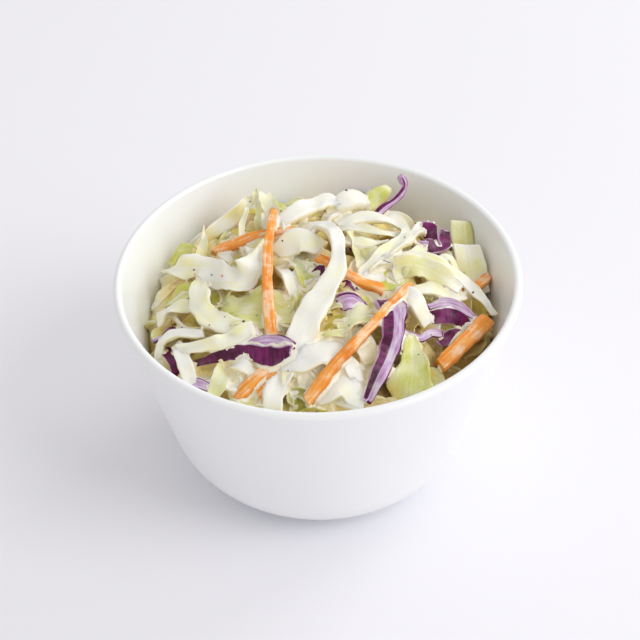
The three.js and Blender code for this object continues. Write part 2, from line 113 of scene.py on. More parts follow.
# Red cabbage: most strips have dark skin on both faces, and the pale ones are cut through the rib.
RED_SKIN = [
    [4.8, 4.6, 1.6, -20, -30, [[28, 12, 1], [32, 13, 4], [35.6, 14.5, 4.5], [37.6, 18.6, 5], [38, 22, 7]]],
    [5.2, 5, 1.5, -20, -50, [[33.2, 23, 7], [34, 18.6, 4.8], [35, 14, 1]]],
    [2.6, 2.2, 1.6, -30, -30, [[6.5, -5.2, 0], [8.6, -4.9, 1.4], [10.8, -5.8, 0]]],
    [5.2, 4, 1.8, -55, -60, [[30, -12.5, 1], [35, -12, 2.8], [39.5, -11.5, 2.8], [43, -12.5, 0.5]]],
    [4, 4, 1.6, -30, -40, [[33, -19.5, 0], [36.5, -17, 1], [40.5, -14, 0]]],
    [2.6, 7, 2.6, -45, -55,
     [[-37, -23, 0.5], [-28.5, -24.5, 1.9], [-23.5, -25, 2.7],
      [-18, -26.5, 3.6], [-13, -28.4, 4.2], [-8, -28, 4.2, 0.7]]],
    [4.5, 4, 1.6, -20, -20, [[-43.5, -14.5, 0], [-41.5, -20, 2], [-39, -25, 0.4]]],
    [4.4, 4, 1.5, -30, -30, [[-38.5, -11, 0.5], [-42.5, -11.5, 2.4], [-46.5, -12, 1.6]]],
    [4.4, 4, 1.6, -20, -20, [[8, 48, 0.5], [14, 47.5, 1.2], [19.5, 46, 0]]],
    [3.4, 3, 1.5, -40, -40, [[-1.2, 0.5, -0.2], [1.2, 1, 1.3], [3.8, -0.5, 0]]],
    [3, 2.6, 1.5, -40, -40, [[6.5, 9, 0.5], [8.8, 10.5, 2.6], [11, 9.5, 0.8]]],
    [3.2, 2.8, 1.5, -50, -50, [[13.5, 4, 0.2], [16.5, 3.6, 2], [20.5, 2.8, 1.8], [23, 3.5, 0.4]]],
]
RED_CUT = [
    [3, 1.6, 1.5, -35, -35,
     [[12, 18, -1], [16, 24, 3], [19.5, 29, 5.5], [23.5, 33, 8],
      [26, 35.5, 10.5], [26.8, 37.5, 13], [25.6, 39.5, 15.1]]],
    [5.2, 4.8, 2.4, -40, -40, [[6, -12.5, 1], [9, -12.2, 2.4], [12, -12.6, 1]]],
    [4, 9, 3.4, -22, -5,
     [[12, -39.5, 1.5], [15.3, -34.5, 4], [18, -30, 4.7], [19.8, -25, 5],
      [20.2, -20, 4.9], [20.2, -15.5, 4.4, 1.1], [19.4, -11.5, 2.4, 1.3]]],
    [2.8, 2.8, 1.8, -20, -30, [[22.5, -21, 3.5], [27.5, -22, 3.8], [30.5, -19.5, 3.5], [34, -17.5, 2]]],
    [3.4, 3, 1.8, -35, -35, [[31, -10, 2.2], [35, -9, 3.8], [40, -8.2, 3.9], [45.5, -8.5, 1.8]]],
    [3.4, 3, 1.5, -30, -30, [[-37, -27.5, 0.4], [-33, -30, 1.8], [-29, -32, 0.6]]],
    [4.8, 4.2, 1.8, -45, -45,
     [[-19.8, -24, 2.6], [-15.5, -24.6, 4.2], [-11, -25.6, 4.4], [-6.8, -26.8, 4.2, 0.8]]],
    [3.8, 3.2, 1.6, -40, -40, [[28, 13.5, 2], [31, 12.6, 4.2], [34.5, 14.6, 3.4]]],
]
# Thick ribs of white cabbage.
RIB = [
    [10, 10, 3.2, -20, 12,
     [[-5, 18.5, 2, 0.5], [-1.5, 18, 3.5, 0.5], [2, 16, 5, 0.45], [5, 10, 6, 0.38], [6, 1, 6, 0.38],
      [5, -6.5, 5.6, 0.5], [1.5, -12.5, 5.2, 0.7], [-2.5, -18, 4.8, 0.85],
      [-5.2, -23.5, 3.6, 0.95], [-6.8, -30, 1]]],
    [9, 8.5, 3, -10, -10, [[-12, -28, 0], [-6, -29, 2.2], [1, -28, 2.6], [7, -27, 0.5]]],
    [6.6, 6, 2.8, 10, 15, [[-8.5, -31.5, 2.4], [-11.5, -37, 2], [-13.5, -41.5, 0]]],
    [5, 5.6, 3.4, -20, -20, [[-14, 20, 1.5], [-8, 24, 3.8], [-2.5, 29, 4.8], [2, 31.5, 5], [6, 33, 4.4]]],
    [8, 8, 7, 0, 0, [[6.5, 32, 2.4], [10.5, 35, 3.8], [13.5, 36.5, 2.6]]],
    [6.5, 5, 4, -10, -20, [[15, 35.5, 2], [18, 39, 4.5], [21, 42.5, 7]]],
    [4.4, 4, 2.4, -20, -20, [[16.5, 27, -0.5], [21, 29.5, 3.4], [26, 28.5, 3.4], [29.5, 25, -0.5]]],
    [4, 3.6, 2.4, -20, 20,
     [[7, 18.5, 3.5], [13, 20.5, 5], [20.5, 20.5, 5.6], [25.5, 18.5, 5.8],
      [25.5, 14, 5.6], [22, 9.5, 5], [16, 3, 3.5], [12, -1, 1.5]]],
    [3, 2.8, 2, -20, -30, [[5.5, 16.5, 3], [12, 15.5, 4.8], [18.5, 14.5, 5.2], [25, 16.5, 4.5]]],
    [3, 2.6, 2, -20, -20, [[7, 12, 3], [14, 10, 4.2], [20.5, 12, 4.8]]],
    [3.4, 3.8, 2.2, 10, -10, [[14.5, -0.5, 2], [24, 10, 5.2], [30, 19.5, 5.5], [34, 27.5, 4.5]]],
    [2.6, 2.8, 2, 0, -10, [[13, 0, 1.5], [22, 5.5, 4], [30, 11.5, 4.2], [33.5, 15.5, 3]]],
    [3.6, 3, 2.4, -20, 0,
     [[23, 4.5, 3], [28.5, 6, 5.2], [35.5, 3.5, 5.8], [42.5, 0.5, 5.4], [47.5, -2.5, 5], [50, -6, 4.2]]],
    [2.8, 3.4, 2.2, -10, -20, [[-46, -19.5, -1], [-44, -15, 3], [-39, -15.5, 4.2], [-32, -18, 4.2]]],
    [4.2, 4.4, 2.6, -10, -10, [[-40, -17, 2], [-38.5, -21, 4.2], [-36.5, -26, 3.8], [-34.5, -32, -0.5]]],
    [4, 5.4, 3, -25, -25, [[-38.5, -20.5, 4], [-30, -23, 5], [-24.5, -23, 5.2], [-18.5, -20.5, 4.6]]],
    [7, 6.4, 2.8, -10, -25,
     [[-33, 4.5, 2.5], [-34, -4, 4.8], [-32.5, -11, 5],
      [-27.5, -16.5, 5], [-22.5, -19.5, 4.8], [-17.5, -20, 3]]],
    [3.4, 4, 2.6, 10, 0, [[-11, 3, -0.5], [-9, -3, 2.8], [-6.5, -9.5, -0.5]]],
    [2.8, 2.6, 2.2, 0, 0, [[-22, 19.5, 1.5], [-22, 24, 4.4], [-20.5, 29.5, 6.5]]],
    [4.2, 2.4, 2.2, -20, -20, [[-24.5, -27, 1], [-20.5, -29.5, 2.8], [-16.5, -32.5, 1]]],
    [4.6, 4.4, 2.6, -20, -25, [[25, -7, 2.5], [32.5, -5, 4.6], [39.5, -5.5, 3]]],
    [6.4, 5.6, 3, -10, 0, [[21.5, -7.5, 1.5], [27, -11, 3.8], [30, -15, 1.5]]],
    [7, 6.5, 2.8, 0, 0, [[10, -21.5, 1], [13, -26, 2.8], [15, -31, 0.5]]],
    [5.4, 6, 2.6, -10, -10, [[2.5, -34, 1.5], [7, -31, 3.2], [10.5, -34.5, 1.5]]],
    [7, 7.5, 3, -10, -10, [[0, -38.5, 0.5], [6, -37, 2.2], [11, -39, 0.5]]],
    [5, 5, 2.6, 0, 0, [[13.5, -40.5, -1.4], [17, -39.5, -0.6], [20.5, -38, -1.4]]],
    [2.8, 2.8, 2.4, 0, 0, [[27.5, -23.5, 1], [28, -27.5, 3], [28.5, -33, 1]]],
    [2.6, 2.6, 2, 0, 0, [[33.5, 6.5, 2], [38, 9.5, 5], [41, 5, 2]]],
    [8.5, 8, 3, -10, -10, [[-11.5, 9, 1], [-5, 11, 3.4], [1, 9, 1.5]]],
    [2.4, 2.4, 1.8, -30, -30, [[-1.5, -24, 0.5], [3, -22.5, 2], [8, -21.5, 1]]],
    [3.8, 3, 2.4, 0, 0, [[-19.5, 12.5, 1.5], [-18.5, 8, 4], [-18, 3, 2]]],
    [4.5, 3.5, 2.6, 0, 10, [[30, 2.5, 1], [36, -0.5, 3], [41, -3.5, 2]]],
]
# The ribs that end in a round knob, by their row.
KNOBS = (4, 5)
# The leaves that are cut to crisp squares, by their row.
SQUARES = (7, 8)
# Thin leaf: outer pieces are greener.
LEAF = [
    [7, 9.5, 1.4, -42, -30,
     [[-44.5, 11.5, 4.2, 0.1], [-39, 9.5, 4.4], [-32.5, 6.5, 4], [-26.5, 0, 3.8],
      [-21, -2, 4.4, 1.1], [-17, 2.5, 5, 0.9], [-14, 10.5, 5, 0.5]]],
    [5, 4.4, 1.3, -50, -60,
     [[-36, 22.5, 0], [-32, 26.5, 2.4], [-27, 29, 4.2], [-22.5, 33, 6.2], [-19.5, 36, 8]]],
    [5, 1, 1.2, 10, 10, [[-16, 22, 1], [-16.5, 28, 3.5], [-17.5, 34, 6], [-18, 39.5, 9]]],
    [7.5, 5.5, 1.3, 10, 15, [[-12, 18.5, 1], [-12.5, 24, 3], [-13, 30, 5], [-15, 37, 7.5]]],
    [5, 1, 1.2, -10, -10, [[-34.5, 12.5, -3.5], [-34, 17.5, 2.6], [-33.5, 21, 4.8], [-33, 24, 7]]],
    [4.4, 4, 1.2, -20, -20, [[-44, 21.5, 0], [-40, 22.5, 2.4], [-35.5, 21, -1]]],
    [4.4, 4, 1.3, -20, -20, [[-45.5, -5, 1.5], [-40.5, -5.5, 4], [-35, -8, 3]]],
    [8.6, 8.2, 1.3, 5, -5, [[44.8, 17, -2], [44.4, 23, 3.4], [43.8, 28.5, 9.6]]],
    [9, 8.6, 1.3, 0, 5, [[46.5, 5.5, -1.5], [45.4, 12, 1.8], [44.2, 18.6, 6.2]]],
    [3.5, 14, 1.4, 0, 10, [[25.5, -23, 5], [25.5, -29.5, 3.6], [24.5, -37, 0.5]]],
    [6, 5, 1.3, 10, 10, [[28.5, -29, 0], [33.5, -31.5, 0.8]]],
    [5.4, 5, 1.3, 10, 10, [[-25, -26, 0], [-27.5, -31, 1.6], [-29.5, -35.5, 0]]],
    [4.6, 4.6, 1.2, 0, 0, [[-21.5, -36, 0], [-15.5, -39.5, 0.6]]],
    [5, 4.6, 1.3, 10, 10, [[-9.5, 6, -1], [-5.5, 0.5, 1.4], [-1.5, -5, -1]]],
    [7, 8, 1.3, 10, 10, [[-43, 3.5, -2.6], [-39, 3, -0.4], [-34, 1, 0]]],
    [15, 14, 1.4, -12, -16, [[-28, -10.5, 0.8], [-18, -12, 2], [-6.5, -13.5, 0.6]]],
    [8, 7, 1.3, 20, 20, [[10.5, 18, 1], [13, 9, 2.6], [13, 0, 0.5]]],
    [6.5, 6, 1.3, 0, 10, [[5.5, -21, 1], [10.5, -17.5, 2.4], [16.5, -14, 0.5]]],
    [5.5, 5.5, 1.2, 0, 0, [[12, -19, 0], [14.5, -29, 0.5]]],
    [3.6, 5, 1.2, 10, 10, [[1, -16, 0.5], [4.5, -12.5, 2], [7.5, -9.5, 0.5]]],
    [8.5, 8.5, 1.3, 0, 0, [[13.5, -3, 0], [22.5, -1, 0.6]]],
    [8.5, 8.5, 1.3, 0, 0, [[12, -11.5, 0], [22, -13.5, 0]]],
    [9, 5, 1.4, -38, -40, [[21.5, 0.5, 3.2], [27.5, 2, 5], [33.5, 0.5, 5.2], [40, -2, 4]]],
    [4.4, 4, 1.2, -20, -20, [[0.5, -18.6, -0.5], [3.5, -17.8, 1], [7, -17, 0]]],
    [3.4, 3, 1.2, 0, 0, [[-29, -9, 0], [-28.2, -5.5, 1.2], [-27, -2, 0]]],
    [3, 3, 1.2, -20, -20, [[-7, -36, 0], [-4.8, -37, 1], [-2.5, -38, 0]]],
    [4.6, 4.4, 1.2, -20, -20, [[-7, -39.6, 0], [-3, -40.4, 1.2], [2, -40.4, 0]]],
]

# How green each shred is, from 0, white, through 1, an outer leaf, to 1.5: one number for each row above.
# Past 1 the colour is painted shadow, a darker olive for leaves that lie in shade, and rib row 5, a knob at
# the back, takes more green as painted shade.
RIB_TONE = [0.05, 0.05, 0.1, 0.05, 0.1, 0.62, 0.1, 0.2, 0.15, 0.2, 0.1, 0.25, 0.15, 0.0, 0.0, 0.22,
            0.28, 0.1, 0.2, 0.05, 0.2, 0.15, 0.2, 0.05, 0.1, 0.15, 0.1, 0.2, 0.15, 0.6, 0.25, 0.15]
LEAF_TONE = [0.14, 0.25, 0.45, 0.3, 0.4, 0.9, 0.3, 0.58, 0.24, 0.7, 0.6, 0.45, 0.6, 0.7, 0.7, 0.62,
             0.4, 0.45, 0.6, 0.45, 0.8, 0.7, 0.3, 1.3, 1.5, 1.2, 1.5]
# How far across each cut red strip its dark skin reaches, from -1 or less, only its edges, to 1, the whole
# face. Beside a face that has skin the edge is pale.
CUT_SHARE = [-0.05, -0.7, 0.1, -0.8, -0.9, -0.7, -1.2, -0.9]

# The number of each group's first shred: a shred's number picks its own noise.
RIB_FIRST = 1
RED_SKIN_FIRST = 41
RED_CUT_FIRST = 69
CARROT_FIRST = 81
LEAF_FIRST = 101
FILL_FIRST = 201
SCRAP_FIRST = 301

# Shreds that fill the heap, laid by rule from a seeded sequence, with turn in radians: for each kind its
# thickness, its least greenness and how much more it may have.
FILL_KINDS = {"rib": (2.4, 0, 0.35), "leaf": (1.3, 0.35, 0.5)}
FILL_COUNT = 38
FILL_SEED = 7
FILL_RING = (17, 46)
FILL_TURN = 1
FILL_LENGTH = (14, 26)
FILL_BEND = 0.3
FILL_WIDTH = (3.8, 6.8)
FILL_ROLL = 25
FILL_LIFT = 1
FILL_DIP = 2.4
FILL_DROP = 0.8 * EDGE_DROP
FILL_DROP_RING = (34.0, 44.0)
FILL_TONE_STEP = 0.381
SEQUENCE_FACTOR = 1664525
SEQUENCE_STEP = 1013904223
SEQUENCE_RANGE = 4294967296

# Fine scraps between the shreds: for each kind its share of the drawn width, its thickness and its range of
# greenness.
SCRAP_KINDS = {"rib": (1.0, 2.2, (0, 0.2)), "leaf": (1.3, 1.1, (0.2, 0.85))}
SCRAP_RING = 49
SCRAP_HALF = (4, 9)
SCRAP_BEND = 0.35
SCRAP_LIFT = (-2.2, 1.0)
SCRAP_DROP_RING = (36.0, 47.0)
SCRAP_TILT = 1.2
SCRAP_DIP = 1.2
SCRAP_WIDTH = (2.6, 6.4)
SCRAP_TAPER = (0.6, 1)
SCRAP_ROLL = 40

# A shred's ends, as rings of (share of the section, share of the bulge).
CUT_CAP = ((0.84, 1.0), (0.95, 0.8), (0.99, 0.4))
ROUND_CAP = ((0.38, 1.0), (0.71, 0.86), (0.92, 0.5))

# What all shreds share. Noise is read at (distance along, distance round, the shred's own seat), where seats
# lie a spacing apart, the under face lies a shift away from the upper one, and a size is a noise's cell.
PATH_SAMPLES = 60
FEWEST_SECTIONS = 5
WALL_GAP = 0.15
WAVE_LENGTH = 11.0
SHRED_SPACING = 13.7
UNDER_SHIFT = 40.0
ROCK_SIZE = (9, 1, 1)
SIDE_SIZE = (7, 1, 1)
FACE_SIZE = (5, 1, 1)
END_SIZE = (1.7, 1, 1)
EDGE_NOISE = ((7, 0.8), (2.8, 0.55), (1.1, 0.3))
LUMP_SEED, RIDGE_SEED, END_SEED, CREASE_SEED, ROCK_SEED, SIDE_SEED, FACE_SEED = 3, 5, 6, 7, 8, 9, 10
WEDGE_PHASE = 1.9
SLANT_PHASE = 2.3
# Powers of the distance from the middle, from 0 to 1, by which the width narrows and the cut takes hold.
NARROWING = 4
CUT_REACH = 8
# Where a cut edge begins across and along, how sharply skin ends, and the skin on the rim of a whole face.
EDGE_RIM = (0.80, 0.98)
END_RIM = 0.9
SKIN_FADE = 0.08
FULL_SKIN_RIM = 0.45


class Form:
    """How a kind of shred is made, in millimetres and degrees. A kind gives what differs from these values.

    step is the distance between sections and across the number of cells over a face. square is the power of
    the section's outline, from 2, an ellipse, up to 8, nearly a box. edge is the thinner long edge's share of
    the thickness, and end the share of the width left at the ends. cup and wave lift the long edges, twist
    rocks the strip about its path and sway moves it off its path, ragged moves its edges in and out and fray
    its ends. lump raises the surface, and ridge and crease sink lines along it. cap shapes the ends, bulge is
    how far they stand out, and slant tips them.
    """

    step = 0.7
    across = 9
    square = 6
    edge = 0.8
    end = 0.7
    cup = 0.4
    wave = 0.5
    twist = 12
    sway = 0.4
    ragged = 0.2
    fray = 0.5
    lump = 0.35
    lump_size = 4.5
    ridge = 0.12
    ridge_size = (14, 1.1)
    crease = 0.4
    crease_size = (10, 3.6)
    cap = CUT_CAP
    bulge = 0.3
    slant = 0.4

    def __init__(self, **values):
        self.__dict__.update(values)


FORMS = {
    "carrot": Form(across=7, square=4.4, edge=0.9, end=0.92, cup=0, wave=0, twist=7, ragged=0.13, fray=0.3,
                   lump=0.24, lump_size=2.6, ridge=0.2, ridge_size=(9, 0.8),
                   crease=0.24, crease_size=(16, 1.9)),
    "rib": Form(step=0.78, edge=0.62, end=0.74, cup=0.3, twist=15, sway=0.6, ragged=0.22, fray=0.35,
                lump=0.45, lump_size=4.4, crease=0.75, crease_size=(15, 3.2), bulge=0.4),
    "knob": Form(across=10, square=3, end=0.8, cup=0.1, wave=0.1, twist=6, sway=0.2, ragged=0.08, fray=0,
                 lump_size=4, ridge_size=(14, 1.3), crease=0.2, crease_size=(16, 3), cap=ROUND_CAP,
                 bulge=1.9, slant=0.1),
    "leaf": Form(step=0.88, across=11, square=4, end=0.66, cup=0.8, wave=1.2, twist=16, sway=0.6, ragged=0.26,
                 fray=0.9, lump=0.5, ridge=0.07, ridge_size=(9, 1.8), crease=0.6),
    "square": Form(across=12, end=0.96, cup=0.5, twist=8, sway=0.3, ragged=0.05, fray=0.25, lump=0.3,
                   ridge=0.07, ridge_size=(9, 1.8), crease=0.3, bulge=0.2, slant=0.3),
    "red": Form(step=0.6, edge=0.75, wave=0.6, lump_size=3.6, ridge=0.1, crease_size=(14, 2.4)),
}


def linear(red, green, blue):
    """A screen colour, each channel from 0 to 255, as the linear values that the shaders take."""
    return tuple(((c / 255 + 0.055) / 1.055) ** 2.4 if c > 10 else c / 3295 for c in (red, green, blue))


def smooth(low, high, value):
    """Smoothstep: 0 below low, 1 above high, easing between them."""
    share = np.clip((value - low) / (high - low), 0, 1)
    return share * share * (3 - 2 * share)


# Large odd factors that mix a corner's place and a seed into a number of 16 bits.
HASH_X, HASH_Y, HASH_Z, HASH_SEED, HASH_MIX = 73856093, 19349663, 83492791, 7919, 1274126177
HASH_MASK = 0xFFFF


def lumps(points, size, seed):
    """Value noise from -1 to 1: a number hashed from each corner of a lattice, eased between corners.

    size is the lattice's cell, one number or one for each direction.
    """
    scaled = np.asarray(points, float) / size
    cell = np.floor(scaled)
    share = scaled - cell
    share = share * share * (3 - 2 * share)
    cell = cell.astype(np.int64)
    total = np.zeros(scaled.shape[:-1])
    for corner in np.ndindex(2, 2, 2):
        at = cell + corner
        mixed = at[..., 0] * HASH_X ^ at[..., 1] * HASH_Y ^ at[..., 2] * HASH_Z ^ (seed * HASH_SEED)
        mixed = (mixed ^ (mixed >> 13)) * HASH_MIX
        value = ((mixed ^ (mixed >> 16)) & HASH_MASK) / (HASH_MASK / 2) - 1
        total += value * np.prod(np.where(corner, share, 1 - share), axis=-1)
    return total


def unit(vectors):
    """Vectors divided by their own lengths."""
    return vectors / np.linalg.norm(vectors, axis=-1, keepdims=True)


def full_turn(count):
    """That many angles once round, in radians."""
    return np.linspace(0, TURN, count, endpoint=False)


# --- the bowl's and the heap's outlines ---

LIP = np.array([RIM_RADIUS - LIP_WIDTH / 2, RIM_HEIGHT - LIP_WIDTH / 2])
HEEL = np.array([BASE_RADIUS, HEEL_RADIUS])
INNER_HEEL = HEEL_RADIUS - WALL


def lean_over(distance):
    """Angle of the wall's normal, along which the heel's and the lip's centres lie that far apart."""
    across, up = LIP - HEEL
    return math.atan2(up, across) - math.acos(distance / math.hypot(across, up))


LEAN = lean_over(HEEL_RADIUS - LIP_WIDTH / 2)
INNER_LEAN = lean_over(INNER_HEEL + LIP_WIDTH / 2)
WALL_FOOT = HEEL_RADIUS + INNER_HEEL * math.sin(INNER_LEAN)


def inner_radius(z):
    """The bowl's inside: above the heel a straight leaning wall, below it the heel's own round."""
    wall = BASE_RADIUS + INNER_HEEL * math.cos(INNER_LEAN) - (z - WALL_FOOT) * math.tan(INNER_LEAN)
    heel = BASE_RADIUS + np.sqrt(np.clip(INNER_HEEL**2 - (HEEL_RADIUS - z) ** 2, 0, None))
    return np.where(z < WALL_FOOT, heel, wall)


def outline(x, y):
    """Height of the heap over a place: it falls with the square of the distance and climbs to the back."""
    return MOUND_TOP - MOUND_FALL * (x * x + y * y) + MOUND_SLOPE * y


def keep_in_bowl(points, gap):
    """Points beyond the bowl's inside less the gap are moved straight in towards the axis."""
    radius = np.hypot(points[..., 0], points[..., 1])
    limit = inner_radius(points[..., 2]) - gap
    share = np.where(radius > limit, limit / np.maximum(radius, 1e-6), 1)
    points[..., :2] *= share[..., None]
    return points


# --- surfaces ---


class Surface:
    """Points, quads, triangles and, at each point, two vectors that the finishes read.

    strand is (distance along the shred, distance round its section, its own seat) and tint is (greenness or
    skin, nearness to a cut edge, nothing).
    """

    def __init__(self, points, quads, triangles, strand=None, tint=None):
        self.points = points
        self.quads = quads
        self.triangles = triangles
        self.strand = np.zeros_like(points) if strand is None else strand
        self.tint = np.zeros_like(points) if tint is None else tint

    def all_triangles(self):
        """Every face as triangles, each quad split across the same corner."""
        quads = self.quads
        return np.concatenate([quads[:, [0, 1, 2]], quads[:, [0, 2, 3]], self.triangles])


def joined(surfaces):
    """Several surfaces as one, with each one's corner numbers moved past those before it."""
    starts = np.cumsum([0] + [len(s.points) for s in surfaces[:-1]])
    return Surface(
        np.concatenate([s.points for s in surfaces]),
        np.concatenate([s.quads + k for s, k in zip(surfaces, starts)]),
        np.concatenate([s.triangles + k for s, k in zip(surfaces, starts)]),
        np.concatenate([s.strand for s in surfaces]),
        np.concatenate([s.tint for s in surfaces]),
    )


def tube_faces(rings, around):
    """Faces of a grid of rings closed round and shut by a pole at each end, facing out.

    Rings run clockwise as seen looking from the first to the last, and the first and the last pole come after
    them in the list of points. Returns quads and the poles' triangles.
    """
    ring, spot = np.meshgrid(np.arange(rings - 1), np.arange(around), indexing="ij")
    near, far = ring * around, (ring + 1) * around
    after = (spot + 1) % around
    quads = np.stack([near + spot, near + after, far + after, far + spot], axis=-1).reshape(-1, 4)
    spot = np.arange(around)
    after = (spot + 1) % around
    last = (rings - 1) * around
    pole = rings * around
    start = np.stack([np.full(around, pole), after, spot], axis=-1)
    end = np.stack([np.full(around, pole + 1), last + spot, last + after], axis=-1)
    return quads, np.concatenate([start, end])


def spline(path, share):
    """Uniform Catmull-Rom through the points, its ends led by mirrored points: places and unit tangents."""
    p = np.vstack([2 * path[0] - path[1], path, 2 * path[-1] - path[-2]])
    t = np.clip(share, 0, 1) * (len(path) - 1)
    k = np.minimum(t.astype(int), len(path) - 2)
    f = (t - k)[:, None]
    a, b, c, d = p[k], p[k + 1], p[k + 2], p[k + 3]
    bend = 2 * a - 5 * b + 4 * c - d
    twist = 3 * b - a - 3 * c + d
    place = b + 0.5 * ((c - a) * f + bend * f**2 + twist * f**3)
    return place, unit(0.5 * (c - a) + bend * f + 1.5 * twist * f**2)


def section(form):
    """Across and up, round a flat superellipse: |across|^n + |up|^n = 1, where n is the form's square."""
    across = np.sin(np.linspace(-math.pi / 2, math.pi / 2, form.across + 1))
    across = np.concatenate([across, across[-2:0:-1]])
    up = np.clip(1 - np.abs(across) ** form.square, 0, 1) ** (1 / form.square)
    up[form.across + 1 :] *= -1
    return across, up


def rings_along(form, length):
    """Each ring's share of the way, its size, and how far its cap pushes it out past the end."""
    cap, cap_push = np.array(form.cap).T
    body = max(FEWEST_SECTIONS, round(length / form.step))
    share = np.concatenate([0 * cap, np.linspace(0, 1, body + 1), 0 * cap + 1])
    scale = np.concatenate([cap, np.ones(body + 1), cap[::-1]])[:, None]
    push = form.bulge * np.concatenate([-cap_push, np.zeros(body + 1), cap_push[::-1]])[:, None]
    return share, scale, push


def strip_frame(path, share, spot, form, first_roll, last_roll):
    """Each ring's place, tangent, side and face.

    The side is the level direction across the path and the face is the one over both, both tipped by the
    roll. Value noise at spot rocks them about the path and moves the place off it.
    """
    place, tangent = spline(path, share)
    level = unit(np.cross(tangent, [0, 0, 1]))
    over = np.cross(level, tangent)
    rock = form.twist * lumps(spot, ROCK_SIZE, ROCK_SEED)
    roll = np.radians(first_roll + (last_roll - first_roll) * share[:, None] + rock)
    side = level * np.cos(roll) + over * np.sin(roll)
    face = over * np.cos(roll) - level * np.sin(roll)
    off = side * lumps(spot, SIDE_SIZE, SIDE_SEED) + face * lumps(spot, FACE_SIZE, FACE_SEED)
    return place + form.sway * off, tangent, side, face


def shred_tint(across, along, length, tone, skin):
    """Tints of a shred's rings and poles: its tone, or 1 where a red strip has skin, and how near a cut is.

    skin is how far across a red strip the skin reaches, and None on all others.
    """
    rim = smooth(*EDGE_RIM, np.abs(across)) + 0 * along
    rim = np.maximum(rim, 1 - smooth(0.0, END_RIM, np.minimum(along, length - along)))
    first = np.full_like(along, tone)
    if skin is not None:
        on_skin = smooth(-SKIN_FADE, SKIN_FADE, skin - across) + 0 * along
        first = np.where(rim > 0.5, 1 - on_skin if skin < 1 else FULL_SKIN_RIM, on_skin)
    tint = np.stack([first, rim, 0 * rim], axis=-1).reshape(-1, 3)
    return np.vstack([tint, tint[:1], tint[-1:]])


def shred(row, form, number, tone=0.0, skin=None):
    """A strip carried along its path.

    Its section is a flat superellipse, a wedge that is thinner towards one long edge, and both edges cup and
    wave. The ends are cut with a slant and a bevel, or closed over a dome, and value noise along and round
    the strip gives it ridges, creases and lumps.
    """
    first_width, last_width, thickness, first_roll, last_roll, path = row
    path, swell = np.split(np.array([(*spot, 1.0)[:4] for spot in path]), [3], axis=1)
    path[:, 2] += outline(path[:, 0], path[:, 1])
    fine, _ = spline(path, np.linspace(0, 1, PATH_SAMPLES))
    length = np.linalg.norm(np.diff(fine, axis=0), axis=1).sum()
    share, scale, push = rings_along(form, length)
    across, up = section(form)
    along = (share * length)[:, None] + 0 * across
    own = number * SHRED_SPACING
    seat = np.full_like(along, own)
    spot = np.stack([along[:, :1], seat[:, :1], seat[:, :1]], axis=-1)
    place, tangent, side, face = strip_frame(path, share, spot, form, first_roll, last_roll)

    narrowing = 1 - (1 - form.end) * np.abs(2 * share - 1) ** NARROWING
    narrowing = narrowing * np.interp(share, np.linspace(0, 1, len(path)), swell[:, 0])
    half_width = ((first_width + (last_width - first_width) * share) / 2 * narrowing)[:, None]
    edges = np.stack([along, np.sign(across) + 0 * along, seat], axis=-1)
    edge_noise = sum(height * lumps(edges, (size, 1, 1), number + k)
                     for k, (size, height) in enumerate(EDGE_NOISE))
    u = across * scale
    thin_side = math.copysign(1, math.sin(number * WEDGE_PHASE))
    wedge = form.edge + (1 - form.edge) * (0.5 + 0.5 * across * thin_side)
    wave = form.wave * u * np.sin(TURN * along / WAVE_LENGTH + path[0, 0])
    rise = up * thickness / 2 * wedge * scale + form.cup * u**2 + wave
    flat = u * half_width * (1 + form.ragged * edge_noise * across**2)

    which_end = np.sign(share - 0.5)[:, None]
    end_noise = lumps(np.stack([flat, which_end + 0 * flat, seat], axis=-1), END_SIZE, END_SEED)
    last = np.abs(2 * share - 1)[:, None] ** CUT_REACH
    slant = form.slant * flat * math.sin(number * SLANT_PHASE)
    cut = push + last * which_end * (slant + form.fray * end_noise)
    points = (place[:, None] + side[:, None] * flat[..., None] + face[:, None] * rise[..., None]
              + tangent[:, None] * cut[..., None])

    power = form.square - 1
    outward = (side[:, None] * (np.sign(across) * np.abs(across) ** power / 2)[:, None]
               + face[:, None] * (np.sign(up) * np.abs(up) ** power)[:, None])
    outward = unit(outward + 1e-6 * face[:, None])
    girth = across * half_width + np.where(up < 0, UNDER_SHIFT, 0.0)
    strand = np.stack([along, girth, seat], axis=-1)
    relief = form.lump * lumps(points, form.lump_size, LUMP_SEED) * min(1, thickness / 2)
    relief -= form.ridge * np.abs(lumps(strand, (*form.ridge_size, 1), RIDGE_SEED))
    relief -= form.crease * np.abs(lumps(strand, (*form.crease_size, 1), CREASE_SEED))
    points = points + outward * (relief * scale)[..., None]

    ends = [points[0].mean(axis=0), points[-1].mean(axis=0)]
    points = keep_in_bowl(np.vstack([points.reshape(-1, 3), ends]), WALL_GAP)
    strand = np.vstack([strand.reshape(-1, 3), [0, 0, own], [length, 0, own]])
    quads, triangles = tube_faces(len(share), len(across))
    return Surface(points, quads, triangles, strand, shred_tint(across, along, length, tone, skin))


def bent_path(radius, angle, heading, half, bend, lifts):
    """A path of three points round a middle at that radius and angle, its middle pushed aside by bend."""
    x, y = radius * math.cos(angle), radius * math.sin(angle)
    dx, dy = half * math.cos(heading), half * math.sin(heading)
    first, middle, last = lifts
    return [[x - dx, y - dy, first], [x - dy * bend, y + dx * bend, middle], [x + dx, y + dy, last]]


